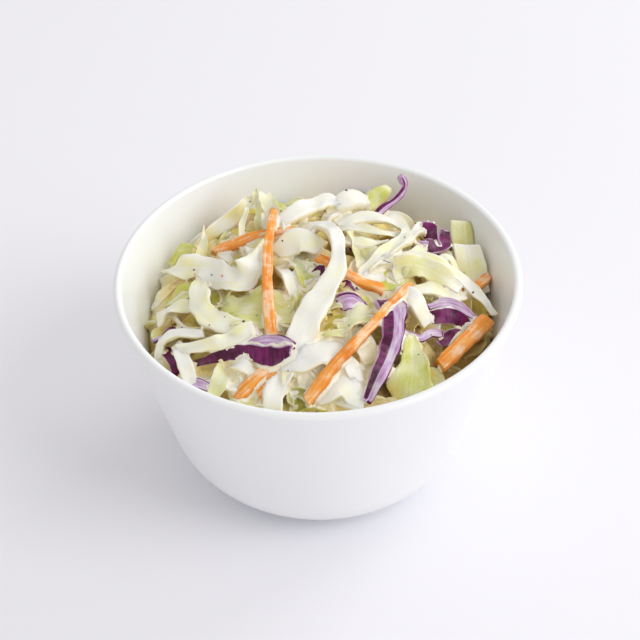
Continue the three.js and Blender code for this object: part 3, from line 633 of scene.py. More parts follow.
def filling_rows():
    """Rows for the shreds that fill the heap, as (kind, row, greenness).

    Their middles lie on a spiral of even spacing between two radii; headings and sizes come from a linear
    congruential sequence, so that they lie where the solid's own do.
    """
    state = FILL_SEED

    def draw(low, high):
        nonlocal state
        state = (state * SEQUENCE_FACTOR + SEQUENCE_STEP) % SEQUENCE_RANGE
        return low + (high - low) * state / SEQUENCE_RANGE

    rows = []
    inner, outer = FILL_RING
    for k in range(FILL_COUNT):
        radius = math.sqrt(inner**2 + (outer**2 - inner**2) * (k + 0.5) / FILL_COUNT)
        angle = k * GOLDEN_ANGLE
        heading = angle + math.pi / 2 + draw(-FILL_TURN, FILL_TURN)
        half = draw(*FILL_LENGTH) / 2
        bend = draw(-FILL_BEND, FILL_BEND)
        width = draw(*FILL_WIDTH)
        roll = draw(-FILL_ROLL, FILL_ROLL)
        lift = draw(-FILL_LIFT, FILL_LIFT) - FILL_DROP * float(smooth(*FILL_DROP_RING, radius))
        path = bent_path(radius, angle, heading, half, bend, (lift - FILL_DIP, lift, lift - FILL_DIP))
        kind = "leaf" if k % 3 == 1 else "rib"
        thickness, least, more = FILL_KINDS[kind]
        tone = least + more * (k * FILL_TONE_STEP % 1)
        rows.append((kind, [width, width, thickness, roll, roll, path], tone))
    return rows


def scrap_rows(count, seed):
    """Rows for the finer scraps between the shreds, as (kind, row, greenness), from a seeded generator."""
    random = np.random.RandomState(seed)
    rows = []
    for _ in range(count):
        kind = random.choice(list(SCRAP_KINDS))
        share_of_width, thickness, greenness = SCRAP_KINDS[kind]
        radius = SCRAP_RING * math.sqrt(random.uniform(0.0, 1.0))
        angle = random.uniform(0, TURN)
        heading = random.uniform(0, TURN)
        half = random.uniform(*SCRAP_HALF)
        bend = random.uniform(-SCRAP_BEND, SCRAP_BEND)
        lift = random.uniform(*SCRAP_LIFT) - EDGE_DROP * float(smooth(*SCRAP_DROP_RING, radius))
        tilt = random.uniform(-SCRAP_TILT, SCRAP_TILT)
        lifts = (lift - SCRAP_DIP - tilt, lift, lift - SCRAP_DIP + tilt)
        path = bent_path(radius, angle, heading, half, bend, lifts)
        width = random.uniform(*SCRAP_WIDTH) * share_of_width
        roll = random.uniform(-SCRAP_ROLL, SCRAP_ROLL)
        tone = random.uniform(*greenness)
        taper = random.uniform(*SCRAP_TAPER)
        rows.append((kind, [width, width * taper, thickness, roll, roll, path], tone))
    return rows


def bed_surface():
    """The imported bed: discs stacked up the bowl's inside, then a top that follows the outline, with lumps.

    Going round by an angle and in by a share of the edge's radius, its height is the outline less the bed's
    depth plus value noise, and it drops towards the wall; below, it keeps a gap from the heel and the floor.
    """
    angle = full_turn(BED_SIDES)
    cos, sin = np.cos(angle), np.sin(angle)
    inside = INNER_HEEL - GAP
    floor = WALL + GAP
    under = [(0.5 * BASE_RADIUS, floor)]
    under += [(BASE_RADIUS + inside * math.cos(a), HEEL_RADIUS + inside * math.sin(a))
              for a in np.linspace(-math.pi / 2, INNER_LEAN, BED_HEEL_RINGS)]
    rings = [np.stack([r * cos, r * sin, np.full(BED_SIDES, z)], axis=-1) for r, z in under]
    edge = np.full(BED_SIDES, RIM_RADIUS - LIP_WIDTH)
    for _ in range(EDGE_STEPS):
        edge = inner_radius(outline(edge * cos, edge * sin) - BED_DEPTH - EDGE_DROP) - GAP
    for share in np.linspace(1, BED_MIDDLE, BED_RINGS):
        x, y = share * edge * cos, share * edge * sin
        flat = np.stack([x, y, 0 * x], axis=-1)
        bump = sum(height * lumps(flat, size, seed) for height, size, seed in BED_LUMPS)
        top = outline(x, y) - BED_DEPTH - EDGE_DROP * share**EDGE_POWER + bump * (1 - share**CALM_POWER)
        rings.append(np.stack([x, y, top], axis=-1))
    points = np.vstack([*rings, [0, 0, floor], [0, 0, float(outline(0, 0)) - BED_DEPTH]])
    quads, triangles = tube_faces(len(rings), BED_SIDES)
    middle, drift, size, seed = BED_GREEN
    green = middle + drift * lumps(points, size, seed)
    tint = np.stack([green, 0 * green, 0 * green], axis=-1)
    return Surface(points, quads, triangles, points.copy(), tint)


def arc(centre, radius, start, end, count):
    """Points of an arc in the profile's plane, between two angles in radians."""
    angle = np.linspace(start, end, count)
    return np.stack([centre[0] + radius * np.cos(angle), centre[1] + radius * np.sin(angle)], axis=-1)


def bowl_surface():
    """The bowl, a profile turned about the axis: foot ring, heel, leaning wall, half-round lip, inside."""
    down = -math.pi / 2
    inner_foot = BASE_RADIUS - FOOT_RING_WIDTH
    recess = arc((inner_foot - FOOT_RECESS, 0.0), FOOT_RECESS, -down, RECESS_TURN, count=5)
    ring = arc((inner_foot + FOOT_ROUND, FOOT_ROUND), FOOT_ROUND, math.pi, 1.5 * math.pi, count=5)
    heel = arc(HEEL, HEEL_RADIUS, down, LEAN, count=26)
    lip = arc(LIP, LIP_WIDTH / 2, LEAN, INNER_LEAN + math.pi, count=18)
    inside = arc(HEEL, INNER_HEEL, INNER_LEAN, down, count=22)
    wall_out = np.linspace(heel[-1], lip[0], WALL_RINGS)[1:-1]
    wall_in = np.linspace(lip[-1], inside[0], WALL_RINGS)[1:-1]
    profile = np.concatenate([
        [[BASE_MIDDLE, FOOT_RECESS]], recess, ring, [[BASE_RADIUS - 0.5 * FOOT_RING_WIDTH, 0.0]],
        heel, wall_out, lip, wall_in, inside, [[FLOOR_MIDDLE, WALL]],
    ])
    angle = full_turn(BOWL_SIDES)
    radius, height = profile[:, :1], profile[:, 1:]
    rings = np.stack([radius * np.cos(angle), radius * np.sin(angle), height + 0 * angle], axis=-1)
    points = np.vstack([rings.reshape(-1, 3), [0, 0, FOOT_RECESS], [0, 0, WALL]])
    return Surface(points, *tube_faces(len(profile), BOWL_SIDES))


# --- finishes: lengths in metres, and noise scales in cells to a metre ---


class Wire:
    """One node's output in arithmetic: each operator adds the Math node that works it out."""

    def __init__(self, finish, socket):
        self.finish = finish
        self.socket = socket

    def _math(self, operation, first, second):
        return self.finish.node("ShaderNodeMath", {"operation": operation}, {0: first, 1: second})

    def __add__(self, other):
        return self._math("ADD", self, other)

    def __radd__(self, other):
        return self._math("ADD", other, self)

    def __sub__(self, other):
        return self._math("SUBTRACT", self, other)

    def __rsub__(self, other):
        return self._math("SUBTRACT", other, self)

    def __mul__(self, other):
        return self._math("MULTIPLY", self, other)

    def __rmul__(self, other):
        return self._math("MULTIPLY", other, self)

    def sine(self):
        return self._math("SINE", self, 0)

    def size(self):
        """The value without its sign."""
        return self._math("ABSOLUTE", self, 0)

    def between(self, low, high):
        """0 at low and 1 at high, eased, and held beyond both."""
        return self.finish.node("ShaderNodeMapRange", {"interpolation_type": "SMOOTHSTEP"},
                                {"Value": self, "From Min": low, "From Max": high})


class Finish:
    """A procedural material, built node by node."""

    def __init__(self, name):
        self.material = bpy.data.materials.new(name)
        self.material.use_nodes = True
        self.tree = self.material.node_tree
        self.tree.nodes.clear()

    def node(self, kind, settings=None, values=None, output=0):
        """Adds a node of that type: its settings first, then its sockets' values or links."""
        made = self.tree.nodes.new(kind)
        for name, value in (settings or {}).items():
            setattr(made, name, value)
        for name, value in (values or {}).items():
            socket = made.inputs[name]
            if isinstance(value, Wire):
                self.tree.links.new(value.socket, socket)
            elif hasattr(value, "__len__") and len(socket.default_value) == 4:
                socket.default_value = (*value, 1)
            else:
                socket.default_value = value
        return Wire(self, made.outputs[output])

    def place(self):
        """Where a point is on the object, in metres."""
        return self.node("ShaderNodeTexCoord", output="Object")

    def parts(self, vector):
        """A vector's three parts."""
        return [self.node("ShaderNodeSeparateXYZ", None, {0: vector}, k) for k in range(3)]

    def attribute(self, name):
        """The three parts of one of the piece's own vectors."""
        return self.parts(self.node("ShaderNodeAttribute", {"attribute_name": name}, output="Vector"))

    def noise(self, vector, scale, detail=2.0, rough=0.5):
        """Fractal noise about 0.5, with scale as the cells to a unit of the vector."""
        return self.node("ShaderNodeTexNoise", None,
                         {"Vector": vector, "Scale": scale, "Detail": detail, "Roughness": rough})

    def streaks(self, strand, along, girth, detail=2.0, rough=0.5):
        """Noise on the shred's own vector, with along and girth as the cells to a millimetre each way."""
        first, second, seat = strand
        stretched = self.node("ShaderNodeCombineXYZ", None, {0: first * along, 1: second * girth, 2: seat})
        return self.noise(stretched, 1.0, detail, rough)

    def veins(self, strand):
        """1 on a vein up the middle of a leaf and on side veins that leave it at a slant, 0 between them."""
        along, girth, _ = strand
        wander = self.streaks(strand, along=0.1, girth=0.12, detail=1)
        middle = 1 - (girth + 1.6 * wander - 0.8).size().between(0.1, 0.55)
        side = (along * 1.15 - girth.size() * 1.5 + 5 * wander).sine().between(0.86, 1.0)
        return (middle + 0.7 * side).between(0.0, 1.0)

    def mix(self, share, first, second):
        """A colour between two."""
        settings = {"data_type": "RGBA", "clamp_factor": True}
        return self.node("ShaderNodeMix", settings, {0: share, 6: first, 7: second}, 2)

    def bump(self, height, distance, strength):
        """A normal tipped by the slope of a height, which counts for distance in metres."""
        values = {"Height": height, "Distance": distance, "Strength": strength}
        return self.node("ShaderNodeBump", None, values)

    def surface(self, **values):
        """The shader itself, each socket named with underscores for spaces."""
        named = {name.replace("_", " "): value for name, value in values.items()}
        shader = self.node("ShaderNodeBsdfPrincipled", None, named)
        out = self.tree.nodes.new("ShaderNodeOutputMaterial")
        self.tree.links.new(shader.socket, out.inputs["Surface"])
        return self.material


# A height at which the bowl's wall is already straight.
LOW_ON_WALL = 30.0


def glaze_finish(settings):
    """White satin glaze with a faint unevenness in its gloss and surface, painted brighter and cooler inside
    the bowl to offset the warm light that the food throws on it.

    A place is inside where its distance from the axis is under the wall's middle, a straight line in its
    height; the two are compared as squares.
    """
    f = Finish("white_glaze")
    place = f.place()
    cloud = f.noise(place, 22, detail=2)
    pits = f.noise(place, 260, detail=2)
    low_radius = float(inner_radius(LOW_ON_WALL)) + WALL / 2
    slope = (LIP[0] - low_radius) / (LIP[1] - LOW_ON_WALL)
    fade = LIP_WIDTH / 2 * MM * 2 * RIM_RADIUS * MM
    x, y, z = f.parts(place)
    middle = z * slope + (low_radius - slope * LOW_ON_WALL) * MM
    inside = (middle * middle - x * x - y * y).between(0.0, fade)
    base = f.mix(cloud * 0.5, settings.glaze, settings.glaze_warm)
    return f.surface(
        # Painted light: inside the bowl the glaze is a brighter, cooler copy of itself.
        Base_Color=f.mix(inside, base, settings.glaze_inside_painted_light),
        Roughness=settings.glaze_roughness + 0.08 * cloud + 0.03 * pits,
        Normal=f.bump(cloud + 0.04 * pits, distance=0.0004, strength=0.25),
        IOR=1.5,
        Coat_Weight=0.3,
        Coat_Roughness=0.16,
    )


def cabbage_finish(name, settings, vein_share):
    """White cabbage: greenness from the shred, streaked along it and paler at its cut edges.

    Faces that look up are whitened by the dressing film, which is partly a painted highlight; the others take
    a painted yellow glow, as if lit through the leaf, and crevices take painted olive shade.
    """
    f = Finish(name)
    strand = f.attribute("strand")
    green, cut, _ = f.attribute("tint")
    faces_up, crevice, _ = f.attribute("lay")
    place = f.place()
    cloud = f.noise(place, 110, detail=2)
    patch = f.noise(place, 80, detail=3)
    fibres = f.streaks(strand, along=0.1, girth=0.9, detail=3, rough=0.6)
    veins = f.veins(strand)
    shade = green * (0.5 + cloud) + 0.4 * (fibres - 0.5) + 0.7 * (patch - 0.46)
    shade = shade - 0.2 * cut - 0.1 * vein_share * veins
    # The dressing film on faces that look up: partly dressing, partly a painted highlight where the light
    # falls on top.
    film_and_highlight = f.noise(place, 170, detail=3).between(0.4, 0.64) * (0.25 + 0.75 * faces_up) * (1 - 0.8 * crevice)
    base = f.mix(shade.between(0.02, 0.45), settings.rib_white, settings.leaf_pale)
    base = f.mix(shade.between(0.35, 0.95), base, settings.leaf_green)
    # Painted shadow: past a greenness of 1 the leaf goes to a darker olive.
    base = f.mix(shade.between(1.0, 1.6), base, settings.leaf_shadow_green)
    base = f.mix(film_and_highlight * (0.72 - 0.5 * green), base, settings.cream)
    # Painted glow: faces that don't look up go yellow, as if lit through the leaf.
    base = f.mix((1 - faces_up) * (0.62 - 0.4 * green), base, settings.painted_glow)
    # Painted shade: crevices go to olive, and deeper ones to a darker olive.
    base = f.mix(crevice.between(0.0, 0.5) * 0.65, base, settings.shade_olive)
    base = f.mix(crevice.between(0.5, 1.0) * 0.85, base, settings.deep_shade_olive)
    height = 0.5 * fibres + 0.14 * vein_share * veins + 0.45 * f.noise(place, 800, detail=3)
    return f.surface(
        Base_Color=base,
        Roughness=0.44 - 0.12 * film_and_highlight + 0.1 * fibres,
        Normal=f.bump(height, distance=0.00032, strength=0.65),
        IOR=1.37,
        Subsurface_Weight=0.45,
        Subsurface_Radius=(1.0, 0.96, 0.8),
        Subsurface_Scale=0.0014,
        Coat_Weight=0.14,
        Coat_Roughness=0.12,
    )


def red_cabbage_finish(settings):
    """Red cabbage: dark streaked skin on its faces, and pale flesh with white patches where it is cut, with
    painted shade in the crevices and a dressing film, partly a painted highlight, on faces that look up.
    """
    f = Finish("red_cabbage")
    strand = f.attribute("strand")
    skin, _, _ = f.attribute("tint")
    faces_up, crevice, _ = f.attribute("lay")
    place = f.place()
    cloud = f.noise(place, 170, detail=3)
    fibres = f.streaks(strand, along=0.16, girth=1.6, detail=3, rough=0.6)
    cross = f.streaks(strand, along=1.3, girth=0.3, detail=2)
    # A dressing film on faces that look up, partly a painted highlight.
    film_and_highlight = f.noise(place, 230, detail=3).between(0.48, 0.66) * faces_up
    dark = f.mix((0.5 * cloud + 0.5 * cross).between(0.38, 0.66), settings.dark_skin_and_shade, settings.skin_bright)
    flesh = f.mix(fibres.between(0.3, 0.72), settings.flesh_pale, settings.flesh_lilac)
    base = f.mix((skin + 0.3 * (fibres - 0.5)).between(0.3, 0.7), flesh, dark)
    base = f.mix(film_and_highlight * (0.4 - 0.32 * skin), base, settings.cream)
    # Painted shade: crevices go to the dark skin colour.
    base = f.mix(crevice * 0.7, base, settings.dark_skin_and_shade)
    return f.surface(
        Base_Color=base,
        Roughness=0.38 + 0.14 * fibres - 0.1 * film_and_highlight,
        Normal=f.bump(0.7 * fibres + 0.3 * f.noise(place, 900, detail=2), distance=0.0002, strength=0.5),
        IOR=1.36,
        Subsurface_Weight=0.2,
        Subsurface_Radius=(1.0, 0.5, 0.9),
        Subsurface_Scale=0.001,
        Coat_Weight=0.12,
        Coat_Roughness=0.14,
    )


def carrot_finish(settings):
    """Carrot: orange with paler fibres and darker patches, washed by the dressing where it looks up, which is
    partly a painted highlight, with painted shade on its sides and in crevices.
    """
    f = Finish("carrot")
    strand = f.attribute("strand")
    faces_up, crevice, _ = f.attribute("lay")
    place = f.place()
    fibres = f.streaks(strand, along=0.08, girth=1.5, detail=4, rough=0.65)
    cloud = f.noise(place, 190, detail=3)
    # A dressing wash on faces that look up, partly a painted highlight.
    film_and_highlight = (0.6 * f.noise(place, 240, detail=3, rough=0.6) + 0.4 * fibres).between(0.46, 0.62) * faces_up
    base = f.mix(fibres.between(0.3, 0.68), settings.carrot, settings.carrot_pale)
    # Darker patches at random, and painted shade on faces that don't look up.
    base = f.mix(cloud.between(0.5, 0.8) * 0.5 + 0.35 * (1 - faces_up), base, settings.carrot_deep_and_shade)
    base = f.mix(film_and_highlight * 0.72, base, settings.carrot_wash_and_highlight)
    # Painted shade: crevices go to the deep carrot colour.
    base = f.mix(crevice, base, settings.carrot_deep_and_shade)
    return f.surface(
        Base_Color=base,
        Roughness=0.42 + 0.12 * fibres - 0.12 * film_and_highlight,
        Normal=f.bump(0.8 * fibres + 0.25 * f.noise(place, 1100, detail=2), distance=0.00022, strength=0.6),
        IOR=1.38,
        Subsurface_Weight=0.3,
        Subsurface_Radius=(1.0, 0.36, 0.12),
        Subsurface_Scale=0.0014,
        Coat_Weight=0.12,
        Coat_Roughness=0.16,
    )


def dressing_finish(settings):
    """The dressing: glossy cream on top, warm in patches and with a painted glow on its sides, and painted
    olive shade in the crevices.
    """
    f = Finish("dressing")
    faces_up, crevice, _ = f.attribute("lay")
    place = f.place()
    cloud = f.noise(place, 160, detail=2)
    fine = f.noise(place, 520, detail=2)
    # Warm in patches at random, and a painted glow on faces that don't look up.
    warm = cloud.between(0.35, 0.7) * 0.6 + 0.7 * (1 - faces_up) + 0.2
    base = f.mix(warm, settings.cream, settings.warm_cream_and_glow)
    # Painted shade: crevices go to olive, and deeper ones to a darker olive.
    base = f.mix(crevice.between(0.0, 0.6) * 0.7, base, settings.shade_olive)
    base = f.mix(crevice.between(0.5, 1.0) * 0.8, base, settings.deep_shade_olive)
    return f.surface(
        Base_Color=base,
        Roughness=0.2 + 0.12 * cloud,
        Normal=f.bump(0.7 * cloud + 0.3 * fine, distance=0.0004, strength=0.35),
        IOR=1.42,
        Subsurface_Weight=0.15,
        Subsurface_Radius=(1.0, 0.97, 0.85),
        Subsurface_Scale=0.001,
        Coat_Weight=0.2,
        Coat_Roughness=0.1,
    )


def speck_finish(settings):
    """Ground pepper and chilli: each grain is dark or orange by its own tint."""
    f = Finish("pepper")
    kind, _, _ = f.attribute("tint")
    grain = f.noise(f.place(), 2400, detail=2)
    base = f.mix(kind, settings.pepper, settings.chilli)
    return f.surface(
        Base_Color=f.mix(grain.between(0.4, 0.75) * 0.5, base, settings.pepper_pale),
        Roughness=0.5 + 0.2 * grain,
        Normal=f.bump(grain, distance=0.0001, strength=0.6),
    )


def floor_finish(settings):
    """A matt paper sweep with the faintest mottling."""
    f = Finish("paper_sweep")
    cloud = f.noise(f.place(), 3, detail=2)
    return f.surface(
        Base_Color=f.mix(cloud * 0.15, settings.floor, settings.floor_shade),
        Roughness=0.75 + 0.1 * cloud,
        IOR=1.3,
    )


# --- pieces ---


def store_vector(mesh, name, values):
    """Adds a vector at each of the mesh's points, under that name."""
    data = mesh.attributes.new(name, "FLOAT_VECTOR", "POINT").data
    data.foreach_set("vector", values.astype(np.float32).ravel())


def read_rows(collection, name, kind=np.float32):
    """One of the threefold values of a mesh's points or triangles, a row for each."""
    values = np.empty(len(collection) * 3, kind)
    collection.foreach_get(name, values)
    return values.reshape(-1, 3)


def make_object(name, surface, material):
    """A smooth-shaded mesh object at the origin, with the surface's own vectors as point attributes."""
    mesh = bpy.data.meshes.new(name)
    corners = np.concatenate([surface.quads.ravel(), surface.triangles.ravel()]).astype(np.int32)
    quad_count, triangle_count = len(surface.quads), len(surface.triangles)
    starts = np.concatenate([np.arange(quad_count) * 4, quad_count * 4 + np.arange(triangle_count) * 3])
    mesh.vertices.add(len(surface.points))
    mesh.vertices.foreach_set("co", (surface.points * MM).astype(np.float32).ravel())
    mesh.loops.add(len(corners))
    mesh.loops.foreach_set("vertex_index", corners)
    mesh.polygons.add(len(starts))
    mesh.polygons.foreach_set("loop_start", starts.astype(np.int32))
    store_vector(mesh, "strand", surface.strand)
    store_vector(mesh, "tint", surface.tint)
    mesh.update(calc_edges=True)
    mesh.shade_smooth()
    mesh.materials.append(material)
    made = bpy.data.objects.new(name, mesh)
    bpy.context.scene.collection.objects.link(made)
    return made


def make_piece(name, surface, material, node):
    """An object that rides on the frame, takes a material slot and stands for a solid."""
    piece = make_object(name, surface, material)
    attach(piece, "root")
    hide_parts(node)
    return piece


FOOD_PIECES = ("slaw_bed", "cabbage_ribs", "cabbage_leaves", "red_cabbage_strips", "carrot_sticks")

# The map in plan of the heap's upper surface, and how the depth below it becomes a crevice, which the
# finishes fill with painted shade; FACING sets how far a point faces up, which places painted glow and
# highlight.
HEAP_CELL = 1.0
HEAP_CELLS = 128
HEAP_BLUR = 2.4
HEAP_STEPS = range(-2, 3)
HEAP_SPREAD = [(x, y) for x in HEAP_STEPS for y in HEAP_STEPS if x * x + y * y < 6]
FACING = (-0.3, 0.9)
HEAP_DEPTH = (2.0, 10.0)
WALL_DEPTH = (1.2, 9.0)
WALL_RING = (38.0, 49.0)


def food_arrays():
    """Points in millimetres and triangles of every piece of food made so far, as one set."""
    points, triangles, start = [], [], 0
    for name in FOOD_PIECES:
        mesh = bpy.data.objects[name].data
        mesh.calc_loop_triangles()
        points.append(read_rows(mesh.vertices, "co") / MM)
        triangles.append(read_rows(mesh.loop_triangles, "vertices", np.int32) + start)
        start += len(mesh.vertices)
    return np.concatenate(points), np.concatenate(triangles)


def heap_cell(points):
    """The map's cell over each point."""
    cell = np.clip(np.round(points[:, :2] / HEAP_CELL + HEAP_CELLS / 2), 0, HEAP_CELLS - 1).astype(int)
    return cell[:, 0], cell[:, 1]


def heap_heights():
    """A map in plan of the heap's upper surface: the highest point in and round each cell, then a blur.

    The blur is Gaussian, made by Fourier transform over the filled cells alone, so that it bridges the gaps.
    """
    points, _ = food_arrays()
    heights = np.zeros((HEAP_CELLS, HEAP_CELLS))
    np.maximum.at(heights, heap_cell(points), points[:, 2])
    heights = np.max([np.roll(heights, shift, (0, 1)) for shift in HEAP_SPREAD], axis=0)
    frequency = np.fft.fftfreq(HEAP_CELLS, HEAP_CELL)
    blur = np.exp(-2 * (math.pi * HEAP_BLUR) ** 2 * (frequency[:, None] ** 2 + frequency**2))
    total, filled = (np.fft.ifft2(np.fft.fft2(grid) * blur).real for grid in (heights, heights > 0))
    return total / np.maximum(filled, 1e-3)


def lay(piece, heights):
    """Gives each point of a piece the vector lay: how far it faces up and how deep in a crevice it is.

    Both run from 0 to 1. A crevice is a depth below the map of heights or, near the wall, below the outline.
    The finishes paint shade into crevices, and glow and highlight by how far a point faces up.
    """
    mesh = piece.data
    points = read_rows(mesh.vertices, "co") / MM
    faces_up = smooth(*FACING, read_rows(mesh.vertex_normals, "vector")[:, 2])
    crevice = smooth(*HEAP_DEPTH, heights[heap_cell(points)] - points[:, 2])
    x, y, z = points.T
    # Painted shade along the wall: a depth below the outline near the wall counts as a crevice.
    at_wall = smooth(*WALL_DEPTH, outline(x, y) - z) * smooth(*WALL_RING, np.hypot(x, y))
    crevice = np.maximum(crevice, at_wall)
    store_vector(mesh, "lay", np.stack([faces_up, crevice, 0 * crevice], axis=-1))


# The dressing's grid, how far its open faces sink into the food, and how much its flat parts are simplified.
DRESSING_CELL = 0.46
DRESSING_SINK = 0.16
DRESSING_ADAPTIVITY = 0.35


def level_set(points, cell, reach, **faces):
    """Distances to closed faces on a grid of that cell, out to reach and two cells more."""
    return openvdb.FloatGrid.createLevelSetFromPolygons(
        points, transform=openvdb.createLinearTransform(voxelSize=cell), halfWidth=reach / cell + 2, **faces)


def dressing_surface(reach):
    """The food's morphological closing: its surface moved out by reach and back in by a little more.

    What that fills is what a ball of that radius can't roll into, so the dressing pools where shreds meet; on
    open faces it ends up a little under the food's own surface.
    """
    points, triangles = food_arrays()
    outer = level_set(points.astype(np.float32), DRESSING_CELL, reach, triangles=triangles.astype(np.uint32))
    points, quads = outer.convertToQuads(isovalue=reach)
    back = reach + DRESSING_SINK
    inner = level_set(points, DRESSING_CELL, back, quads=quads)
    points, triangles, quads = inner.convertToPolygons(isovalue=-back, adaptivity=DRESSING_ADAPTIVITY)
    surface = Surface(points.astype(float), quads.astype(np.int64).reshape(-1, 4),
                      triangles.astype(np.int64).reshape(-1, 3))
    if signed_volume(surface) < 0:
        surface.quads = surface.quads[:, ::-1]
        surface.triangles = surface.triangles[:, ::-1]
    return surface


def signed_volume(surface):
    """Volume inside the faces, negative when they face in."""
    a, b, c = (surface.points[k] for k in surface.all_triangles().T)
    return float((a * np.cross(b, c)).sum() / 6)


# The camera, with its clip distances in metres, and the side of its square image in pixels.
CAMERA_LENS = 84.375
CAMERA_SENSOR = 36.0
CAMERA_DISTANCE = 436.5
CAMERA_ELEVATION = math.radians(41.6)
CAMERA_ROLL = math.radians(-1.5)
CAMERA_AIM = np.array([0.37, 0.0, 48.7])
CAMERA_CLIP = (0.01, 20)
IMAGE_SIDE = 640


def camera_axes():
    """Where the camera is, in millimetres, and its right, up and backward directions."""
    back = np.array([0, -math.cos(CAMERA_ELEVATION), math.sin(CAMERA_ELEVATION)])
    up = np.array([0, math.sin(CAMERA_ELEVATION), math.cos(CAMERA_ELEVATION)])
    right = np.array([1.0, 0, 0])
    cos, sin = math.cos(CAMERA_ROLL), math.sin(CAMERA_ROLL)
    return CAMERA_AIM + back * CAMERA_DISTANCE, cos * right + sin * up, cos * up - sin * right, back


# Grains that the camera sees, each as a pixel [across, down] of its view, and grains elsewhere, as [x, y].
PEPPER_SEEN = [[211, 275], [257, 316], [224, 318], [242, 320], [347, 184], [404, 236], [288, 372], [431, 333]]
CHILLI_SEEN = [[194, 273], [221, 277], [246, 229]]
PEPPER_LAID = [[12, 30], [-20, 34], [30, 34], [-36, 8], [8, -20],
               [27, -28], [-10, 12], [44, -2], [0, 44], [-30, -18]]
PIXEL_REACH = 2
PLACE_REACH = 0.6
GRAIN_RADIUS = 0.28
GRAIN_SPREAD = 0.1
GRAIN_SPREAD_PHASE = 5
GRAIN_RINGS = 5
GRAIN_SIDES = 9
GRAIN_SHAPE = [1.2, 0.85, 0.6]
GRAIN_BUMP = 0.45
GRAIN_BUMP_SIZE = 0.8
GRAIN_SEED = 4
GRAIN_SPACING = 3.1
GRAIN_TURN = 1.7


def grain(centre, radius, number, kind):
    """A ground grain: a ball scaled by value noise, flattened and turned about the vertical."""
    fall = np.linspace(0, math.pi, GRAIN_RINGS + 2)[1:-1, None]
    turn = full_turn(GRAIN_SIDES)
    x, y, z = np.sin(fall) * np.cos(turn), np.sin(fall) * np.sin(turn), -np.cos(fall) + 0 * turn
    ball = np.vstack([np.stack([x, y, z], axis=-1).reshape(-1, 3), [0, 0, -1], [0, 0, 1]])
    bumps = lumps(ball + number * GRAIN_SPACING, GRAIN_BUMP_SIZE, GRAIN_SEED)
    ball = ball * (1 + GRAIN_BUMP * bumps)[:, None] * GRAIN_SHAPE
    cos, sin = math.cos(number * GRAIN_TURN), math.sin(number * GRAIN_TURN)
    ball[:, :2] = ball[:, :2] @ np.array([[cos, sin], [-sin, cos]])
    points = centre + radius * ball
    quads, triangles = tube_faces(GRAIN_RINGS, GRAIN_SIDES)
    return Surface(points, quads, triangles, points.copy(), np.tile([kind, 0, 0], (len(points), 1)))


def best_point(points, miss, reach, rank):
    """Of the points that miss a mark by no more than the best one and reach, the one of highest rank."""
    near = miss < reach + miss.min()
    return points[near][np.argmax(rank[near])]


def speck_surface():
    """Grains set on the food: each on its nearest point under a pixel, or its highest at a place."""
    points, _ = food_arrays()
    eye, right, up, back = camera_axes()
    ray = points - eye
    nearness = ray @ back
    focal = IMAGE_SIDE * CAMERA_LENS / CAMERA_SENSOR
    across = IMAGE_SIDE / 2 + focal * (ray @ right) / -nearness
    down = IMAGE_SIDE / 2 - focal * (ray @ up) / -nearness
    seats = [(best_point(points, np.hypot(across - u, down - v), PIXEL_REACH, nearness), kind)
             for kind, pixels in ((0, PEPPER_SEEN), (1, CHILLI_SEEN)) for u, v in pixels]
    first, second, height = points.T
    seats += [(best_point(points, np.hypot(first - x, second - y), PLACE_REACH, height), 0)
              for x, y in PEPPER_LAID]
    return joined([grain(place, GRAIN_RADIUS + GRAIN_SPREAD * math.sin(GRAIN_SPREAD_PHASE * k), k + 1, kind)
                   for k, (place, kind) in enumerate(seats)])


# --- the add-on ---


def colour(name, description, red, green, blue):
    """A colour property whose default is given as a screen colour."""
    return bpy.props.FloatVectorProperty(
        name=name, description=description, subtype="COLOR", size=3, min=0, max=1,
        default=linear(red, green, blue))


class ColeslawBowlSettings(bpy.types.PropertyGroup):
    """The bowl's finish."""

    glaze: colour("Glaze", "Colour of the white glaze", 243, 243, 244)
    glaze_warm: colour("Warm glaze", "Colour that the glaze drifts to", 239, 239, 240)
    # Painted light: the inside glaze is a brighter, cooler copy that offsets the warm light from the food.
    glaze_inside_painted_light: colour("Inside glaze", "Colour of the glaze inside the bowl", 248, 252, 255)
    glaze_roughness: bpy.props.FloatProperty(
        name="Glaze roughness", description="How satin the glaze is", subtype="FACTOR",
        min=0.05, max=1, default=0.27)


